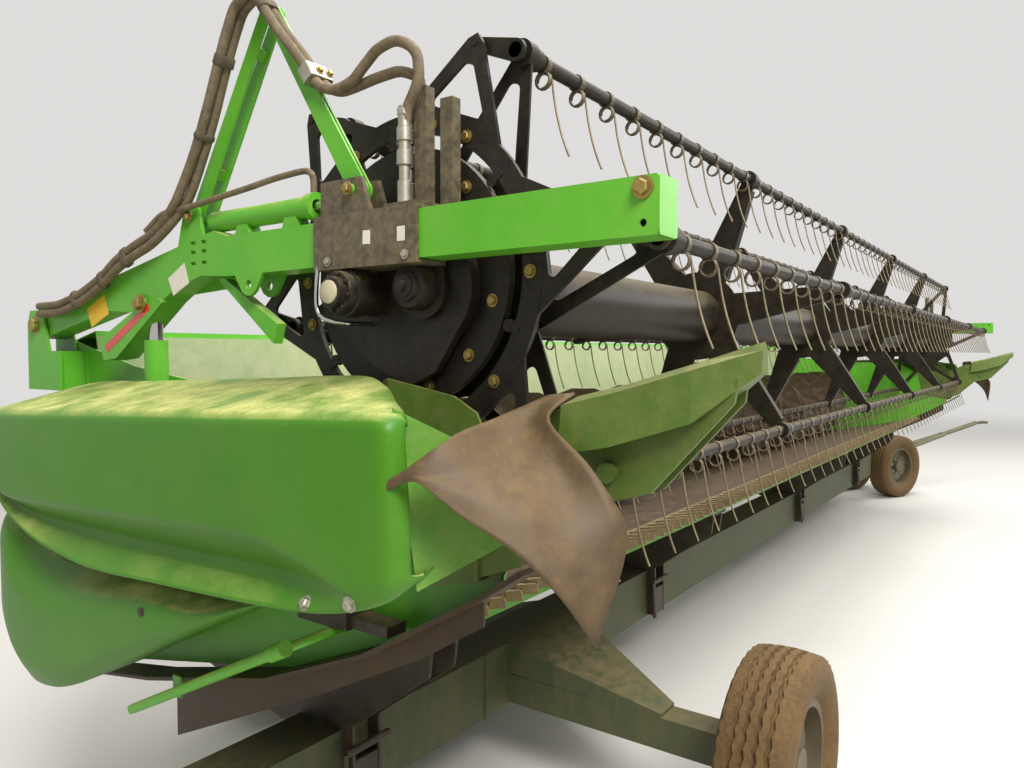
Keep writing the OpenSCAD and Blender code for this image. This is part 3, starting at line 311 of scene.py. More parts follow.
# A hexagon head with a chamfered top on a round washer, turned to point along its axis
bolt_tree, given = tree_of("bolt_heads", [
    ("Head radius", "Float"), ("Head height", "Float"), ("Washer radius", "Float"),
    ("Washer height", "Float"), ("Metal", "Material")])
washer = add(bolt_tree, "GeometryNodeMeshCylinder", {"Vertices": 18},
             {"Radius": given["Washer radius"], "Depth": given["Washer height"]})
washer_middle = add(bolt_tree, "ShaderNodeMath", {1: 0.5}, {0: given["Washer height"]}, operation="MULTIPLY")
# The head is a prism for three quarters of its height, and a blunt cone above
straight = add(bolt_tree, "ShaderNodeMath", {1: 0.75}, {0: given["Head height"]}, operation="MULTIPLY")
prism = add(bolt_tree, "GeometryNodeMeshCylinder", {"Vertices": 6},
            {"Radius": given["Head radius"], "Depth": straight.outputs[0]})
prism_middle = add(bolt_tree, "ShaderNodeMath", {1: 0.5}, {0: straight.outputs[0], 2: given["Washer height"]},
                   operation="MULTIPLY_ADD")
narrow = add(bolt_tree, "ShaderNodeMath", {1: 0.8}, {0: given["Head radius"]}, operation="MULTIPLY")
thin = add(bolt_tree, "ShaderNodeMath", {1: 0.25}, {0: given["Head height"]}, operation="MULTIPLY")
crown = add(bolt_tree, "GeometryNodeMeshCone", {"Vertices": 6}, {
    "Radius Top": narrow.outputs[0], "Radius Bottom": given["Head radius"], "Depth": thin.outputs[0]})
crown_foot = add(bolt_tree, "ShaderNodeMath", {}, {0: straight.outputs[0], 1: given["Washer height"]},
                 operation="ADD")
head = add(bolt_tree, "GeometryNodeJoinGeometry")
for solid, height in ((washer, washer_middle), (prism, prism_middle), (crown, crown_foot)):
    lift = add(bolt_tree, "ShaderNodeCombineXYZ", {}, {2: height.outputs[0]})
    raised = add(bolt_tree, "GeometryNodeTransform", {},
                 {"Geometry": solid.outputs[0], "Translation": lift.outputs[0]})
    bolt_tree.links.new(raised.outputs[0], head.inputs[0])
way = add(bolt_tree, "GeometryNodeInputNamedAttribute", {"Name": "axis"}, data_type="FLOAT_VECTOR")
size = add(bolt_tree, "GeometryNodeInputNamedAttribute", {"Name": "size"}, data_type="FLOAT")
pointed = add(bolt_tree, "FunctionNodeAlignRotationToVector", {}, {"Vector": way.outputs[0]}, axis="Z")
spread = add(bolt_tree, "GeometryNodeInstanceOnPoints", {}, {
    "Points": given["Geometry"], "Instance": head.outputs[0], "Rotation": pointed.outputs[0],
    "Scale": size.outputs[0]})
real = add(bolt_tree, "GeometryNodeRealizeInstances", {}, {0: spread.outputs[0]})
metal = add(bolt_tree, "GeometryNodeSetMaterial", {},
            {"Geometry": real.outputs[0], "Material": given["Metal"]})
add(bolt_tree, "NodeGroupOutput", {}, {0: metal.outputs[0]})


def bolts(name, body, places, metal):
    """Bolt heads on a CAD body; each place is a point in header millimetres, the way it points and its size,
    where a size of 1 is a head 19 mm across its corners."""
    sizes = {"Head radius": 0.0095, "Head height": 0.0075, "Washer radius": 0.0135, "Washer height": 0.0025}
    made = grown(name, body, bolt_tree, {**sizes, "Metal": metal}, [point for point, way, size in places],
                 axis=[way for point, way, size in places], size=[size for point, way, size in places])


# Ribbed implement tread: how far across the tyre, radius, and how far the line zigzags
half_tyre = [(80, 212, 0), (104, 236, 0), (114, 268, 0), (116, 296, 0), (110, 322, 0), (103, 338, 4),
             (97, 349, 7), (90, 352, 7), (62, 356, 7), (59, 346, 7), (49, 346, 7), (46, 357.5, 7),
             (25, 359.5, 7), (22, 347, 7), (14, 347, 7), (11, 360, 7)]
zigzags = 44  # round the tyre
inside = [(-80, 205, 0), (80, 205, 0)]  # against the rim
section = half_tyre + [(-w, r, z) for w, r, z in half_tyre[::-1]] + inside


def tyre_part(centre, across, ahead):
    """A tyre round a centre, with the way its axle points and the way it rolls."""
    rings = []
    for k in range(2 * zigzags):
        angle = math.pi * k / zigzags
        out = ahead * math.cos(angle) + np.array([0, 0, math.sin(angle)])
        shift = 0.5 if k % 2 else -0.5
        rings.append([centre + across * (w + shift * zag) + out * r for w, r, zag in section])
    return shell(rings, ends="joined")


rear_axle_x, front_axle_x, beam_y, hub_height = -2590, 5060, 587, 360
rear_reach, front_reach, steer = 1141, 293, 24  # from the beam to a wheel's middle, and degrees
nut_face, nut_circle = 20, 76  # how far out from the wheel's middle, and radius
for wheel, axle_x, reach, turn, side in (
        ("rear_right", rear_axle_x, rear_reach, 0, -1),
        ("rear_left", rear_axle_x, rear_reach, 0, 1),
        ("front_right", front_axle_x, front_reach, steer, -1),
        ("front_left", front_axle_x, front_reach, steer, 1)):
    across = np.array([math.sin(math.radians(turn)), math.cos(math.radians(turn)), 0])
    ahead = np.array([across[1], -across[0], 0])
    centre = np.array([axle_x, beam_y, hub_height]) + side * reach * across
    tyre = build("ribbed_tyre_" + wheel, "wheel_" + wheel, [tyre_part(centre, across, ahead)], tyre_rubber,
                 sharp=35)
    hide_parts("tyre_" + wheel)
    dress(rim_paint, "rim_" + wheel)
    nuts = [(centre + side * (nut_face * across + nut_circle * math.cos(a) * ahead)
             + np.array([0, 0, nut_circle * math.sin(a)]), side * across, 1.3)
            for a in np.arange(6) * math.tau / 6 + 0.3]
    bolts("nuts_of_wheel_" + wheel, "wheel_" + wheel, nuts, zinc_white)

# Header frame, end sheets and posts
# Square tubes welded into a long frame, with pressed sheets across its ends.
# The posts that carry the reel's arms are bolted on at both ends.

# Powder coat: bright green with a soft gloss, and straw dust lying thick on top
green_enamel = finish("dusty_green_enamel", "4BA41C", "57AE26", "BDB274", cover=0.12, settled=0.9,
                      rough=0.34, peel=0.06, patch=500, ior=1.42)
dress(green_enamel, "header_frame", "frame_uprights", "end_sheets", "arm_posts")

# Back sheet
# Thin sheet steel behind the auger, fixed to the frame's uprights.
# Its pale green paint has faded under an even coat of chaff dust.

# Thin chalky paint: no gloss, and hardly told from the dust on it
back_paint = finish("faded_green_sheet", "8FA070", "7D9462", "B9B08A", cover=0.5, settled=0.9, rough=0.5)
dress(back_paint, "back_sheet")

# Table floor, wear plates and auger
# Rolled sheet steel, welded up and left bare, with flights round the auger's tube.
# The crop polished it, and dust and light rust have browned it since.

# Bare steel gone brown: a dull sheen that is half metal, half dirt
worn_steel = finish("browned_table_steel", "3A2D20", "2C2118", "6E5A3C", cover=0.4, rough=0.42,
                    metallic=0.35, patch=333)
dress(worn_steel, "table_floor", "wear_plates", "auger")

# Cutterbar, knife and its drives
# Forged guards bolted to the bar, and a knife of hardened serrated sections that slides in them.
# A black gearbox at each end, under the end shield, drives it.

# Forged steel under dry dust: straw coloured and matt, with little metal left to see
guard_steel = finish("dusty_forged_steel", "7B6A4C", "5E4E38", "A8926A", cover=0.6, settled=0.9, rough=0.55,
                     metallic=0.4, patch=83.3)
dress(guard_steel, "cutterbar", "knife")
dress(rest_paint, "knife_drives")

# End shields
# Moulded green plastic covers with broad soft edges, an upper and a lower one at each end.
# They are bolted to the end sheets; their tops are pale with dust and with a painted highlight of the light
# from above.

# Polyethylene, moulded in its colour: a soft sheen, faintly mottled, with fine dust rubbed in. The pale dust
# colour on its level tops is brighter than the dust alone: partly a painted highlight of the light from above
shield_plastic = finish("moulded_green_plastic", "397508", "407C0C", "D8D284", cover=0.03, settled=1.0,
                        rough=0.42, peel=0.05, patch=833, tilt=0.6, ior=1.38)


def mirrored(part):
    """The same part at the other end of the header, its faces turned to point outwards again."""
    corners, sides = part
    return [(-x, y, z) for x, y, z in corners], [side[::-1] for side in sides]


def both_ends(places):
    """The same places for bolts at both ends of the header."""
    return places + [((-x, y, z), (-a, b, c), size) for (x, y, z), (a, b, c), size in places]


def through(rows, step=26, count=0):
    """Rows of points on smooth curves that pass through the given rows and never overshoot them, with
    count of them from each given row to the next, or one every step millimetres."""
    rows = np.array(rows, float)
    gaps = np.linalg.norm(np.diff(rows, axis=0), axis=2).mean(axis=1)
    slopes = np.diff(rows, axis=0) / gaps[:, None, None]
    turn = np.empty_like(rows)
    turn[0], turn[-1] = slopes[0], slopes[-1]
    both = slopes[1:] * slopes[:-1]
    turn[1:-1] = np.where(both > 0, 2 * both / (slopes[1:] + slopes[:-1] + (both <= 0)), 0)
    made = []
    for i, gap in enumerate(gaps):
        parts = count or max(2, math.ceil(gap / step))
        for t in np.arange(parts) / parts:
            made.append((2 * t ** 3 - 3 * t ** 2 + 1) * rows[i] + (t ** 3 - 2 * t ** 2 + t) * gap * turn[i]
                        + (3 * t ** 2 - 2 * t ** 3) * rows[i + 1] + (t ** 3 - t ** 2) * gap * turn[i + 1])
    return np.array(made + [rows[-1]])


def rounded(ring, radii, steps=5):
    """A ring of corners with an arc of the given radius at each; a radius of 0 leaves the corner."""
    ring = np.array(ring, float)
    made = []
    for i, radius in enumerate(radii):
        corner, before, after = ring[i], ring[i - 1] - ring[i], ring[(i + 1) % len(ring)] - ring[i]
        if not radius:
            made.append(corner)
            continue
        cuts = [min(radius, 0.46 * np.linalg.norm(way)) / np.linalg.norm(way) for way in (before, after)]
        for t in np.linspace(0, 1, steps + 1):
            made.append(corner + (1 - t) ** 2 * cuts[0] * before + t ** 2 * cuts[1] * after)
    return made


def swept(route, radius, sides=12):
    """A round tube along a route of points; radius is one number or one for each point."""
    route = np.array(route, float)
    sizes = np.broadcast_to(radius, len(route))
    ways = np.gradient(route, axis=0)
    ways /= np.linalg.norm(ways, axis=1)[:, None]
    side = np.array((0, 0, 1) if abs(ways[0][2]) < 0.9 else (1, 0, 0), float)
    rings = []
    for place, way, size in zip(route, ways, sizes):
        side = side - way * (side @ way)
        side /= np.linalg.norm(side)
        over = np.cross(way, side)
        rings.append([place + size * (math.cos(a) * side + math.sin(a) * over)
                      for a in np.linspace(0, math.tau, sides + 1)[:-1]])
    return shell(rings)


def thicken(piece, thickness):
    """Gives an open skin a wall of some metres behind its faces."""
    wall = piece.modifiers.new("wall", "SOLIDIFY")
    wall.thickness = thickness
    wall.offset = -1
    return wall


# Upper cover: from front to back, each row is y, bottom, edge of the lip, bottom of the bulge, crease,
# height of the inner edge, how far out it stands, and how deep its long hollow is
cover_rows = [[-378, 1300, 1310, 1322, 1560, 1568, 4150, 3], [-373, 1290, 1304, 1316, 1567, 1574, 4168, 3],
              [-362, 1276, 1294, 1306, 1573, 1582, 4182, 4], [-340, 1257, 1282, 1298, 1576, 1594, 4188, 5],
              [-280, 1230, 1262, 1273, 1573, 1610, 4190, 6], [-160, 1203, 1256, 1304, 1569, 1630, 4190, 40],
              [0, 1188, 1248, 1332, 1562, 1632, 4190, 66], [340, 1169, 1236, 1317, 1550, 1620, 4190, 74],
              [650, 1155, 1232, 1305, 1538, 1610, 4190, 76], [900, 1176, 1235, 1298, 1528, 1602, 4188, 70],
              [1082, 1216, 1250, 1291, 1521, 1598, 4182, 60], [1300, 1290, 1310, 1330, 1510, 1575, 4150, 20],
              [1440, 1340, 1352, 1364, 1490, 1545, 4080, 6], [1480, 1380, 1388, 1396, 1460, 1520, 3990, 4]]
inner_x = 3890  # inner edges of the covers, just outside the arm
cut_y, cut_length, cut_depth = -60, 330, 258  # where the upper one turns inwards, and how far it goes


def cover_line(y, low, lip, bulge, crease, top, out, deep):
    """The section of the upper cover at one place along its length, with soft edges, from its lower
    flange over the outside to its inner edge, which is cut back at the front."""
    inner = -inner_x - cut_depth * min(max((cut_y - y) / cut_length, 0), 1)
    rise = (top - crease) * (inner + out) / (out - inner_x)
    line = [[-out + 74, y, low + 16], [-out + 40, y, low], [-out + 12, y, low + 4], [-out + deep, y, lip],
            [-out + 1, y, bulge], [-out, y, bulge + 40], [-out, y, crease - 12],
            [-out + min(22, (inner + out) / 2), y, crease + 7], [inner, y, crease + rise]]
    return rounded(line, [0, 10, 12, 26, 12, 30, 12, 12, 0])


cover = through([cover_line(*row) for row in cover_rows])
# The front edge bows forwards between its corners
bow_depth, bow_from, bow_length, bow_middle, bow_half = 16, -180, 200, 1380, 190
ahead = np.clip((bow_from - cover[:, :, 1]) / bow_length, 0, 1)
cover[:, :, 1] -= bow_depth * ahead * np.clip(1 - ((cover[:, :, 2] - bow_middle) / bow_half) ** 2, 0, 1)

# Lower cover: each row is y, bottom, edge of the face, edge of the shelf above it, and how far out it stands
skirt_rows = [[20, 1172, 1178, 1186, 4040], [90, 1150, 1160, 1170, 4105], [330, 1045, 1106, 1122, 4130],
              [454, 988, 1104, 1120, 4132], [741, 855, 1062, 1100, 4132], [907, 776, 1036, 1100, 4132],
              [1026, 740, 1033, 1104, 4132], [1119, 730, 1045, 1118, 4130], [1202, 754, 1070, 1140, 4125],
              [1281, 801, 1134, 1186, 4115], [1385, 900, 1190, 1236, 4080], [1450, 990, 1200, 1240, 3990]]


def skirt_ring(y, low, face, shelf, out):
    """The section of the lower cover at one place along its length."""
    ring = [[-inner_x, y, low + 10], [-out + 34, y, low], [-out, y, low + (face - low) * 0.2],
            [-out, y, face - (face - low) * 0.15], [-out + 16, y, face], [-out + 72, y, shelf],
            [-inner_x, y, shelf + 8]]
    return rounded(ring, [0, 14, 20, 24, 26, 10, 0])


skirt = through([skirt_ring(*row) for row in skirt_rows])
# Panel behind the gap between the two covers, and two round spacers against the end sheet
panel_outline = [(-60, 1205), (0, 1215), (640, 1180), (1082, 1260), (1390, 1330), (1390, 1180), (960, 1050),
                 (215, 1100)]
panel = shell([[(x, y, z) for y, z in panel_outline] for x in (-4032, -4040)])
spacers = [swept([(x, y, 1400) for x in (-3891, -3799)], radius=22, sides=16) for y in (0, 1150)]
top_cover = shell(cover, ends="open")
top_covers = build("top_covers", "root", [top_cover, mirrored(top_cover)], shield_plastic, sharp=60)
thicken(top_covers, 0.006)
lower_parts = [shell(skirt), panel] + spacers
lower_parts += [mirrored(part) for part in lower_parts]
lower_covers = build("end_covers", "root", lower_parts, shield_plastic)
for cover_pair in (top_covers, lower_covers):
    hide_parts("end_shields")
# Two bolts in the lip of each upper cover, and a black stub in the face of the lower one, where a hole shows
# dark: painted shade
bolts("cover_bolts", "root", both_ends([((-4166, -147, 1221), (-0.83, 0.09, 0.54), 1.1),
                                        ((-4181, -280, 1249), (-1, 0.02, -0.13), 1.1)]), zinc_white)
hole_shade = swept([(x, 488, 1071) for x in (-4126, -4134, -4136)], [11, 11, 8], sides=20)
hole_shades = build("cover_hole_shades", "root", [hole_shade, mirrored(hole_shade)], rest_paint)

# Dividers, with their rubber flaps
# Pressed green sheet folded into a trough on hinge brackets, with an adjusting rod below.
# A sheet of rubber is fixed to it along its front edge and hangs over the side.

# Green enamel set to a dark olive and half matt: partly dust on it, partly painted shade, as the trough lies
# in shade
dusty_shaded_enamel = finish("dusty_shaded_green_enamel", "415E1A", "506E26", "8A8050", cover=0.28, settled=0.9,
                      rough=0.4, peel=0.1, patch=250, ior=1.4)
dress(dusty_shaded_enamel, "dividers")
dress(green_enamel, "adjusting_rods")
# Enamel rubbed by the crop: a duller green than the frame's, with more dust on it
plate_enamel = finish("rubbed_green_enamel", "42821A", "4E8E28", "AFA468", cover=0.25, settled=0.9,
                      rough=0.42, peel=0.06, patch=250, ior=1.4)
# Plate that closes the front of each end, between the upper cover and the trough
plate_corners = [(-4145, -350, 1588), (-4050, -400, 1534), (-3970, -461, 1338), (-4118, -378, 1272)]
inward, plate_thickness = np.array([0.48, 0.87, 0.08]), 6
front_plate = shell([[np.array(corner) + along * inward for corner in plate_corners]
                     for along in (0, plate_thickness)])
front_plates = build("front_plates", "root", [front_plate, mirrored(front_plate)], plate_enamel)


def smooth_line(points, step=26, count=0):
    """Points on a smooth curve that passes through the given ones."""
    return through([[point] for point in points], step, count)[:, 0]


# Rubber belt, cut from sheet: soft brown sheen where it is bent and rubbed, fine dust elsewhere
flap_rubber = finish("dusty_sheet_rubber", "453420", "523F28", "846B43", cover=0.3, settled=0.65, rough=0.55,
                     patch=250)
# From the fixed front end back to the curled tip, each row runs from the top down to the free edge
flap_rows = [
    [[-3850, -530, 1608], [-3945, -532, 1572], [-3965, -640, 1480], [-3955, -695, 1380], [-4020, -675, 1210]],
    [[-3850, -465, 1600], [-3950, -516, 1546], [-3985, -599, 1452], [-4030, -630, 1380], [-4075, -639, 1302]],
    [[-3975, -450, 1569], [-3995, -490, 1512], [-4040, -539, 1462], [-4090, -578, 1417], [-4115, -582, 1370]],
    [[-4120, -455, 1543], [-4125, -470, 1515], [-4130, -484, 1485], [-4145, -500, 1457], [-4155, -504, 1425]],
    [[-4174, -410, 1496], [-4178, -419, 1491], [-4180, -425, 1485], [-4181, -428, 1481], [-4182, -429, 1476]],
    [[-4184, -334, 1453], [-4184, -336, 1450], [-4183, -339, 1447], [-4183, -342, 1444], [-4182, -345, 1441]]]
flap = through([smooth_line(row, count=7) for row in flap_rows], step=20)[::-1]
ribbon = shell(flap, ends="open")
for side, part in (("right", ribbon), ("left", mirrored(ribbon))):
    rubber = build("rubber_flap_" + side, "root", [part], flap_rubber, sharp=180)
    thicken(rubber, 0.005).use_even_offset = True
    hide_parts("divider_flaps")

# Reel arms, tower and cylinders
# Box sections and laser-cut plates, welded and powder coated bright green, dusty on top.
# Hydraulic cylinders lift the arms and slide the reel, and a folding tower carries the hoses.

# Hard chrome, ground and polished: a bright mirror with a little grease and dust
chrome = finish("hard_chrome_rod", "C8C8C6", "B4B2AE", "8A7A60", cover=0.05, settled=0.3, rough=0.15,
                metallic=1.0, peel=0.0)
dress(green_enamel, "reel_arms", "slide_barrels", "tower_rear", "tower_front", "lift_barrels")
dress(chrome, "slide_rods", "lift_rods")
# Safety prop folded up under the bend: a pressed channel, its side and its back
prop_side = [(1160, 1722), (924, 1818), (820, 1838), (800, 1826), (1058, 1667), (1130, 1660)]
prop_back = [(1130, 1660), (1058, 1667), (800, 1826), (800, 1834), (1060, 1675), (1132, 1668)]
channel = [shell([[(x, y, z) for y, z in outline] for x in faces])
           for outline, faces in ((prop_side, (-3883, -3876)), (prop_back, (-3879, -3812)))]
props = build("safety_props", "arms", channel + [mirrored(part) for part in channel], green_enamel)
# Vinyl labels, with nothing printed on them: flat half matt colours under a little dust
label_white = finish("white_vinyl_label", "E9E6D8", "DEDACA", "A89C7E", cover=0.25, settled=0.3, rough=0.4,
                     peel=0.0)
label_yellow = finish("yellow_vinyl_label", "F0C31C", "E6B814", "A8935A", cover=0.15, settled=0.3, rough=0.4,
                      peel=0.0)
# Reflector film: a clear layer over tiny beads, so it shines deep red
reflector = finish("red_reflector_film", "D5372B", "C93024", "9A6A4E", cover=0.12, settled=0.3, rough=0.25,
                   peel=0.02, grain=2, lacquer=0.5)


def label(corners, x):
    """A thin film through corners of y and z, from just inside to just outside a face that looks outwards
    at x."""
    return shell([[(x - along, y, z) for y, z in corners] for along in (-0.3, 0.8)])


for name, corners, x, film in (
        ("white_label", [(694, 1929), (673, 1873), (749, 1842), (774, 1891)], -3879, label_white),
        ("yellow_label", [(1235, 1821), (1126, 1862), (1104, 1802), (1208, 1763)], -3879, label_yellow),
        ("reflector_strip", [(1124, 1706), (877, 1826), (863, 1808), (1105, 1684)], -3883, reflector)):
    sticker = build(name, "arms", [label(corners, x), mirrored(label(corners, x))], film)
# Plate welded over the front end of each arm
cap_ring = rounded([(-3879, 1882), (-3804, 1882), (-3804, 1985), (-3879, 1985)], [8] * 4, steps=3)
arm_cap = shell([[(x, y, z) for x, z in cap_ring] for y in (-713, -706)])
arm_caps = build("arm_end_caps", "arms", [arm_cap, mirrored(arm_cap)], green_enamel)
# Zinc plate with a yellow passivate: brassy, and dulled by dust
zinc_yellow = finish("yellow_zinc_plate", "A8904E", "8C7640", "A0916A", cover=0.25, settled=0.7, rough=0.35,
                     metallic=0.8, grain=2.5, patch=33.3)
# Bolt at the front end of each arm, and the nuts on the pins of the lift cylinder and of the arm itself
outwards = (-1, 0, 0)
bolts("arm_bolts", "arms", both_ends([((-3879, -682, 1964), outwards, 1.5),
                                      ((-3887, 906, 1826), outwards, 2.0),
                                      ((-3887, 1560, 1777), outwards, 2.4)]), zinc_yellow)
# Heads of the tower's pins, at the right-hand end only, where the tower stands
bolts("rear_pin_heads", "tower_rear_link", [((-3885, 660, 2050), outwards, 1.1)], zinc_yellow)
bolts("front_pin_heads", "tower_front_link", [((-3885, 40, 2050), outwards, 1.1),
                                              ((-3871, 350, 2528), outwards, 0.9)], zinc_yellow)

# Sleeves, bearing plates, motor, disc and star
# Welded boxes that slide on the arms, with plates that carry the reel's bearings.
# The right-hand one has the motor, the fixed disc and the star that keeps the bats level.

# Powder coat in deep black where it is sheltered, with brown dust on whatever faces up
carriage_paint = finish("black_powder_coat", "0D0C0B", "161412", "7A6B4C", cover=0.12, settled=0.85,
                        rough=0.42, peel=0.12, grain=3.1, patch=200, ior=1.35)
# The same coat as a brownish grey on the sleeves: partly dust over most of it, partly painted light, as the
# sleeves stand in full light
sleeve_paint = finish("dusty_lit_black_powder_coat", "39342A", "2A2620", "958461", cover=0.5, settled=0.95,
                      rough=0.42, peel=0.12, grain=3.1, patch=143)
dress(sleeve_paint, "sleeves")
dress(carriage_paint, "chain_case", "cam_disc", "control_star", "reel_motor")
# Moulded cap in cream plastic, matt and a little soiled
pale_cap = finish("cream_cap", "CFC6A8", "B9AE90", "9A8C6C", cover=0.3, settled=0.6, rough=0.5)
# Reel motor: a flanged housing with eight screws and a pale cap, and the stepped boss of the sprocket shaft
motor, shaft = (60, 1818), (-105, 1827)


def turned(x_and_radius, middle):
    """A part turned round a line across the header, through pairs of x and radius."""
    return swept([(x, *middle) for x, radius in x_and_radius], [radius for x, radius in x_and_radius], 36)


def bolt_circle(x, middle, radius, angles, size):
    """Places for bolts on a circle that faces outwards at x."""
    return [((x, middle[0] + radius * math.cos(a), middle[1] + radius * math.sin(a)), outwards, size)
            for a in angles]


motor_body = turned([(-3784, 49), (-3836, 49), (-3838, 55), (-3880, 55), (-3882, 49), (-3899, 49),
                     (-3904, 46), (-3905, 36), (-3921, 34), (-3923, 30)], motor)
shaft_boss = turned([(-3784, 66), (-3798, 70), (-3804, 70), (-3806, 52), (-3838, 50), (-3846, 46),
                     (-3848, 34), (-3856, 32), (-3858, 25), (-3863, 25), (-3865, 12), (-3872, 11)], shaft)
housing = build("motor_housing", "carriage", [motor_body, shaft_boss], carriage_paint, sharp=35)
cap_part = turned([(-3921, 26), (-3927, 26), (-3929, 23)], motor)
motor_cap = build("motor_cap", "carriage", [cap_part], pale_cap, sharp=35)
screw_angles = np.arange(8) * math.tau / 8 + 0.2
bolts("motor_screws", "carriage", bolt_circle(-3904, motor, radius=41, angles=screw_angles, size=0.5),
      carriage_paint)
# Polished guard bar bent round the motor
guard_route = smooth_line([(-3884, 141, 1884), (-3888, 142, 1840), (-3890, 141, 1800), (-3890, 133, 1774),
                           (-3890, 112, 1760), (-3884, 80, 1752), (-3850, 66, 1750), (-3784, 62, 1750)],
                          step=8)
guard = build("motor_guard", "carriage", [swept(guard_route, radius=5, sides=10)], chrome)
# The star turns round a middle of its own, and each bat's crank reaches from the reel's circle to the star's
crank = (95, 32)
star_middle = (shaft[0] + crank[0], shaft[1] + crank[1])
bat_angles = range(52, 412, 60)
star_angles = np.radians([a + b for a in bat_angles for b in (-9, 9)])
disc_angles = np.radians(range(134, 314, 30))
star_places = bolt_circle(-3745.5, star_middle, radius=350, angles=star_angles, size=1.1)
disc_places = bolt_circle(-3749, star_middle, radius=262, angles=disc_angles, size=1.1)
bolts("star_bolts", "star", star_places, zinc_yellow)
bolts("disc_bolts", "carriage", disc_places, zinc_yellow)
bolts("pin_heads_of_sleeve", "carriage", [((-3891, y, 1890), outwards, 0.8) for y in (-140, 100)], zinc_white)
# Two blank vinyl labels on the outer face
labels = build("sleeve_labels", "carriage", [
    label([(-13, 1951), (-35, 1950), (-35, 1920), (-12, 1921)], -3889),
    label([(-116, 1950), (-138, 1950), (-138, 1919), (-116, 1919)], -3889)], label_white)

# Reel
# A black tube with spiders of folded plate, which carry six bats of steel tube in bearings.
# Sprung steel tines are clipped on the bats, and a crank on each bat's end runs in the star.

# Thin black paint, rubbed to a dull sheen by the crop, with dust on top; its black is set darker than real
# paint as painted shade
reel_paint = finish("dusty_reel_paint", "0A0907", "14120E", "7A6B4C", cover=0.12, ior=1.3)
dress(reel_paint, "reel_tube", "reel_spiders")
# Spring wire rubbed bare along the tine: a dry straw colour with a faint glint
tine_steel = finish("rubbed_spring_steel", "75684E", "574B36", "A3926C", cover=0.3, settled=0.7, rough=0.4,
                    metallic=0.35, patch=71.4)
# The same wire where it coils and kept its paint: darker, with dust between the turns
coil_steel = finish("painted_spring_steel", "3A342A", "574B38", "8C7B58", rough=0.35, metallic=0.3, patch=50)

# A tine: two and three quarter turns of wire that hang under the tube, then one long gently bent finger
tine_tree, given = tree_of("tines_along_a_bat", [
    ("Coil radius", "Float"), ("Coil depth", "Float"), ("Wire radius", "Float"), ("Bend", "Vector"),
    ("Tip", "Vector"), ("Clip radius", "Float"), ("Coil", "Material"), ("Wire", "Material")])
coil_width = 0.013
along_bat = (0, math.pi / 2, 0)
coil = add(tine_tree, "GeometryNodeCurveSpiral", {"Resolution": 14, "Rotations": 2.75, "Height": coil_width},
           {"Start Radius": given["Coil radius"], "End Radius": given["Coil radius"]})
drop = add(tine_tree, "ShaderNodeCombineXYZ", {0: -coil_width / 2}, {2: given["Coil depth"]})
coil = add(tine_tree, "GeometryNodeTransform", {"Rotation": along_bat},
           {"Geometry": coil.outputs[0], "Translation": drop.outputs[0]})
back = add(tine_tree, "ShaderNodeMath", {1: -1.0}, {0: given["Coil radius"]}, operation="MULTIPLY")
start = add(tine_tree, "ShaderNodeCombineXYZ", {0: coil_width / 2},
            {1: back.outputs[0], 2: given["Coil depth"]})
finger = add(tine_tree, "GeometryNodeCurveQuadraticBezier", {"Resolution": 7},
             {"Start": start.outputs[0], "Middle": given["Bend"], "End": given["Tip"]})
round_wire = add(tine_tree, "GeometryNodeCurvePrimitiveCircle", {"Resolution": 6},
                 {"Radius": given["Wire radius"]})
wires = []
for curve in (coil, finger):
    tube = add(tine_tree, "GeometryNodeCurveToMesh", {"Fill Caps": True},
               {"Curve": curve.outputs[0], "Profile Curve": round_wire.outputs[0]})
    wires.append(add(tine_tree, "GeometryNodeSetShadeSmooth", {}, {0: tube.outputs[0]}))
clip = add(tine_tree, "GeometryNodeMeshCylinder", {"Vertices": 14, "Depth": 0.016},
           {"Radius": given["Clip radius"]})
clip = add(tine_tree, "GeometryNodeTransform", {"Rotation": along_bat}, {"Geometry": clip.outputs[0]})
# The finger's faces are marked, so that it gets the rubbed wire's finish after all are joined
marked = add(tine_tree, "GeometryNodeStoreNamedAttribute", {"Name": "finger", "Value": True},
             {"Geometry": wires[1].outputs[0]}, data_type="BOOLEAN", domain="FACE")
whole = add(tine_tree, "GeometryNodeJoinGeometry")
for source in (wires[0], clip, marked):
    tine_tree.links.new(source.outputs[0], whole.inputs[0])
spread = add(tine_tree, "GeometryNodeInstanceOnPoints", {},
             {"Points": given["Geometry"], "Instance": whole.outputs[0]})
real = add(tine_tree, "GeometryNodeRealizeInstances", {}, {0: spread.outputs[0]})
dark = add(tine_tree, "GeometryNodeSetMaterial", {}, {"Geometry": real.outputs[0], "Material": given["Coil"]})
chosen = add(tine_tree, "GeometryNodeInputNamedAttribute", {"Name": "finger"}, data_type="BOOLEAN")
rubbed = add(tine_tree, "GeometryNodeSetMaterial", {}, {
    "Geometry": dark.outputs[0], "Selection": chosen.outputs[0], "Material": given["Wire"]})
add(tine_tree, "NodeGroupOutput", {}, {0: rubbed.outputs[0]})
tine_shape = {"Coil radius": 0.019, "Coil depth": -0.035, "Wire radius": 0.0026,
              "Bend": (0.004, -0.031, -0.135), "Tip": (0.0, -0.068, -0.212), "Clip radius": 0.0205,
              "Coil": coil_steel, "Wire": tine_steel}

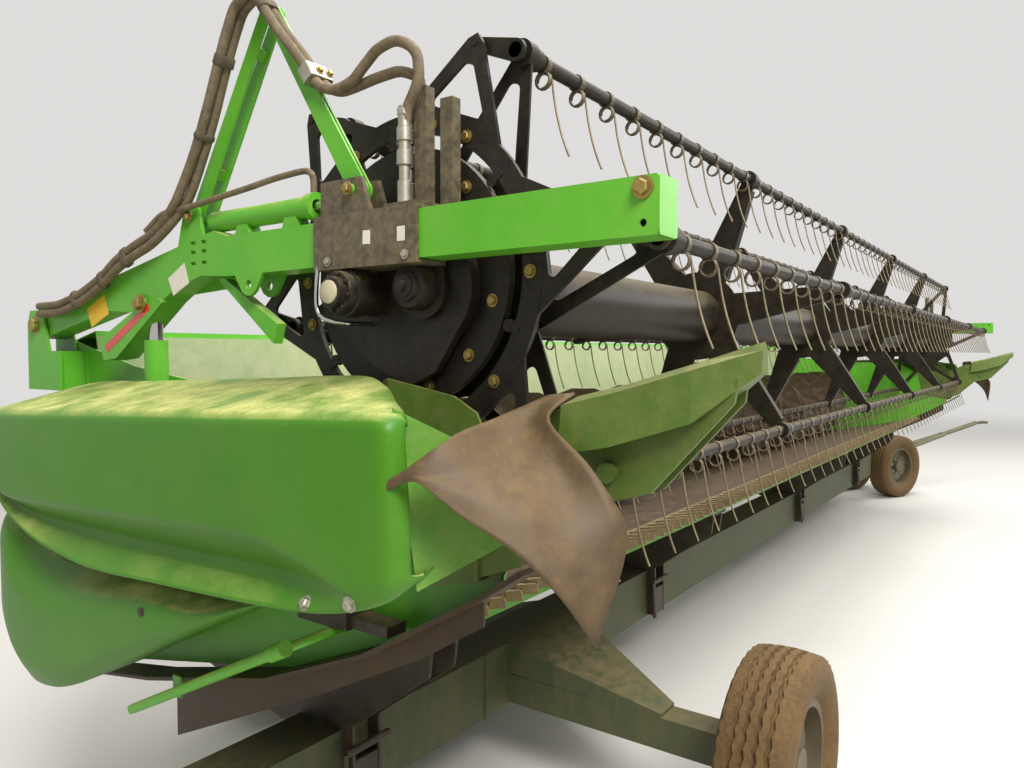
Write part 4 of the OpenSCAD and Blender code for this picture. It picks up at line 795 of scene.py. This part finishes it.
bat_circle, bat_radius, reel_half, bays, bay_tines = 540, 17, 3690, 5, 10
bay = 2 * reel_half / bays
left_end, right_end = reel_half + 30, -reel_half - 37
collar = ((16, 19), (20, 25), (44, 25), (48, 19))  # how far along from a spider, and radius
crank_thickness, pin_radius, pin_length = 12, 9, 20
crank_wide, crank_narrow = 24, 16  # radii of its round ends, on the bat and on the pin
crank_angle, crank_length = math.atan2(crank[1], crank[0]), math.hypot(*crank)
along = np.array([0, math.cos(crank_angle), math.sin(crank_angle)])
up = np.array([0, -along[2], along[1]])
for number, angle in enumerate(bat_angles, 1):
    y = shaft[0] + bat_circle * math.cos(math.radians(angle))
    z = shaft[1] + bat_circle * math.sin(math.radians(angle))
    body = "bat_%d_body" % number
    parts = [swept([(right_end, y, z), (left_end, y, z)], bat_radius)]
    # Bearing collars at the spiders
    for i in range(bays + 1):
        x = -reel_half + i * bay
        parts.append(swept([(x + step, y, z) for step, r in collar], [r for step, r in collar], sides=18))
    # Crank with round ends, and its pin in the star
    axle = np.array([0, y, z])
    pin = axle + along * crank_length
    outline = [middle + size * (math.cos(a) * along + math.sin(a) * up)
               for middle, size, first in ((axle, crank_wide, math.pi / 2), (pin, crank_narrow, -math.pi / 2))
               for a in np.linspace(first, first + math.pi, 10)]
    faces = (right_end, right_end + crank_thickness)
    parts.append(shell([[point + (x, 0, 0) for point in outline] for x in faces]))
    parts.append(swept([pin + (x, 0, 0) for x in (right_end - pin_length, right_end)], pin_radius))
    tube = build("tube_of_bat_%d" % number, body, parts, reel_paint)
    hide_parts("bat_%d" % number)
    places = [(-reel_half + i * bay + (k + 0.5) * bay / bay_tines, y, z) for i in range(bays)
              for k in range(bay_tines)]
    tines = grown("tines_of_bat_%d" % number, body, tine_tree, tine_shape, places)

# Hoses, clamp and valves
# Two hydraulic hoses of black rubber in braided sleeves, brown with dust. They run up the right-hand arm,
# over the hose tower and in free loops to the two plated valves that are screwed to the sleeve.

# Braided textile over rubber: no shine, and dust packed in the weave
hose_rubber = finish("dusty_braided_hose", "4A3F30", "5E513E", "8F7D60", cover=0.6, settled=0.9, rough=0.75,
                     grain=2.4, patch=166.7, peel=0.5)
# Up the arm and behind the rear link: x, y and z of the outer and of the inner hose
rising = [[(-3905, 1500, 1838), (-3905, 1500, 1812)], [(-3905, 1400, 1838), (-3905, 1400, 1812)],
          [(-3905, 1290, 1852), (-3905, 1290, 1826)], [(-3905, 1098, 1908), (-3905, 1098, 1882)],
          [(-3905, 994, 1958), (-3905, 994, 1931)], [(-3905, 897, 1990), (-3905, 900, 1962)],
          [(-3906, 812, 2012), (-3905, 818, 1984)], [(-3908, 740, 2044), (-3902, 752, 2016)],
          [(-3911, 684, 2082), (-3896, 700, 2052)], [(-3911, 645, 2126), (-3887, 655, 2098)],
          [(-3911, 590, 2200), (-3886, 594, 2190)], [(-3911, 532, 2300), (-3886, 536, 2292)],
          [(-3911, 486, 2392), (-3886, 490, 2388)], [(-3911, 458, 2448), (-3886, 461, 2445)],
          [(-3911, 432, 2494), (-3886, 434, 2492)], [(-3911, 404, 2532), (-3886, 405, 2531)]]
# Round the pin at the top of the tower the two lengths share one arc, so they slide along each other there
tower_top, arc_radius, top_x = (350, 2528), 25, (-3911, -3886)
arc = [(tower_top[0] + arc_radius * math.cos(a), tower_top[1] + arc_radius * math.sin(a))
       for a in np.radians([45, 60, 75, 90, 105, 120, 135, 147])]
falling = [[(-3911, 290, 2498), (-3885, 290, 2498)], [(-3902, 258, 2448), (-3876, 258, 2448)],
           [(-3880, 222, 2393), (-3854, 222, 2393)], [(-3863, 185, 2337), (-3837, 185, 2337)]]
loops = [[(-3862, 146, 2300), (-3835, 152, 2306)], [(-3860, 100, 2287), (-3834, 102, 2290)],
         [(-3858, 52, 2296), (-3833, 48, 2294)], [(-3857, 10, 2324), (-3831, -4, 2300)],
         [(-3856, -32, 2350), (-3830, -56, 2302)], [(-3855, -74, 2357), (-3829, -100, 2290)],
         [(-3854, -118, 2340), (-3827, -128, 2266)], [(-3854, -145, 2306), (-3826, -128, 2240)],
         [(-3854, -148, 2268), (-3825, -112, 2216)], [(-3854, -134, 2236), (-3824, -98, 2198)],
         [(-3853, -114, 2206), (-3824, -91, 2184)], [(-3853, -105, 2170), (-3823, -90, 2166)]]
hose_radius = 12.5
over_the_top = [[(x, y, z) for y, z in arc] for x in top_x]
up_the_arm = [[row[i] for row in rising] + over_the_top[i][1:5] for i in (0, 1)]
to_the_valves = [over_the_top[i] + [row[i] for row in falling + loops] for i in (0, 1)]
# The second lengths are a hair thinner, so on the shared arc they stay inside the first
for name, routes, radius, bodies, start, end, nodes in (
        ("hoses_up_the_arm", up_the_arm, hose_radius, ("arms", "tower_rear_link"), (860, 2020), (650, 2130),
         ("hoses_arm", "hoses_tower_rear")),
        ("hoses_to_the_valves", to_the_valves, hose_radius - 0.5, ("tower_front_link", "carriage"),
         (170, 2320), (-60, 2300), ("hoses_tower_front", "hoses_sleeve"))):
    tubes = [swept(smooth_line(route, step=12), radius, sides=14) for route in routes]
    hose = build(name, None, tubes, hose_rubber)
    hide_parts(*nodes)
    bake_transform(hose)
# Feed hose of the slide cylinder, from its elbow back to the others
feed = smooth_line([(-3841, 204, 2058), (-3841, 204, 2094), (-3841, 212, 2114), (-3843, 236, 2123),
                    (-3850, 320, 2118), (-3864, 430, 2102), (-3882, 540, 2086), (-3897, 640, 2072),
                    (-3904, 740, 2066), (-3910, 830, 2024)], step=12)
feed_hose = build("feed_hose", "arms", [swept(feed, radius=8)], hose_rubber)
# Cloth tape, wrapped round each pair of hoses: dark and matt, and browned by dust
tape = finish("brown_cloth_tape", "2C261F", "3E362C", "857458", cover=0.45, rough=0.8, grain=2)
tape_radius = 15.5


def wrap(place, way, side, half, width=14):
    """A band round a pair of hoses: its middle, the way they run, the way from one to the other, and half the
    distance between their middles."""
    place, way, side = (np.array(v, float) for v in (place, way, side))
    way /= np.linalg.norm(way)
    side -= way * (side @ way)
    side /= np.linalg.norm(side)
    over = np.cross(way, side)
    ring = [side * (math.copysign(half, math.cos(a)) + tape_radius * math.cos(a))
            + over * tape_radius * math.sin(a) for a in np.linspace(0, math.tau, 29)[:-1] + 0.01]
    edges = ((-width / 2, 0.95), (-width / 2 + 2, 1), (width / 2 - 2, 1), (width / 2, 0.95))
    return shell([[place + way * along + point * grow for point in ring] for along, grow in edges])


for name, body, wraps in (
        ("tape_on_the_arm", "arms", [
            ((-3905, 1250, 1850), (0, -192, 56), (0, 0, 1), 13),
            ((-3905, 1080, 1901), (0, -104, 50), (0, 0, 1), 13),
            ((-3905, 946, 1960), (0, -97, 32), (0, 0, 1), 14, 22)]),
        ("tape_on_the_tower", "tower_rear_link", [
            ((-3898, 562, 2245), (0, -58, 100), (1, 0, 0), 12.5),
            ((-3898, 472, 2419), (0, -28, 56), (1, 0, 0), 12.5, 26)]),
        ("tape_on_the_front_link", "tower_front_link", [
            ((-3898, 297, 2510), (0, -46, -71), (1, 0, 0), 12.5, 24)])):
    bands = build(name, body, [wrap(*band) for band in wraps], tape)
# Cast clamp with its two screws at the end of the front link
clamp_middle = np.array([-3849.0, 185, 2337])
link_way, link_over = np.array([0, -0.544, -0.839]), np.array([0, -0.839, 0.544])
inwards = np.array([1, 0, 0])
clamp_half = (34, 19, 21)  # across the hoses, above them and along them
corners = [clamp_middle + a * clamp_half[0] * inwards + b * clamp_half[1] * link_over
           for a, b in ((-1, -1), (1, -1), (1, 1), (-1, 1))]
outline = rounded(corners, [7] * 4, steps=3)
clamp_part = shell([[point + a * clamp_half[2] * link_way for point in outline] for a in (-1, 1)])
clamp = build("hose_clamp", "tower_front_link", [clamp_part], zinc_white)
screws = [(clamp_middle + clamp_half[1] * link_over + x * inwards, link_over, 0.8) for x in (0, 30)]
bolts("clamp_screws", "tower_front_link", screws, zinc_yellow)
# Plated valves: a stack of collars and hexagons on each pipe, as radius and height
stack = [(16, 1999), (16, 2052), (12, 2055), (12, 2084), (17, 2087), (17, 2118), (12.5, 2121), (12.5, 2136),
         (17, 2139), (17, 2166), (13.5, 2169), (13.5, 2192), (15.5, 2194), (15.5, 2206), (13.2, 2207),
         (13.2, 2212)]
valve_parts = [swept([(x, y, z) for r, z in stack], [r for r, z in stack], sides=18)
               for x, y in ((-3853.5, -105), (-3823.5, -90))]
valves = build("plated_valves", "carriage", valve_parts, zinc_white, sharp=40)
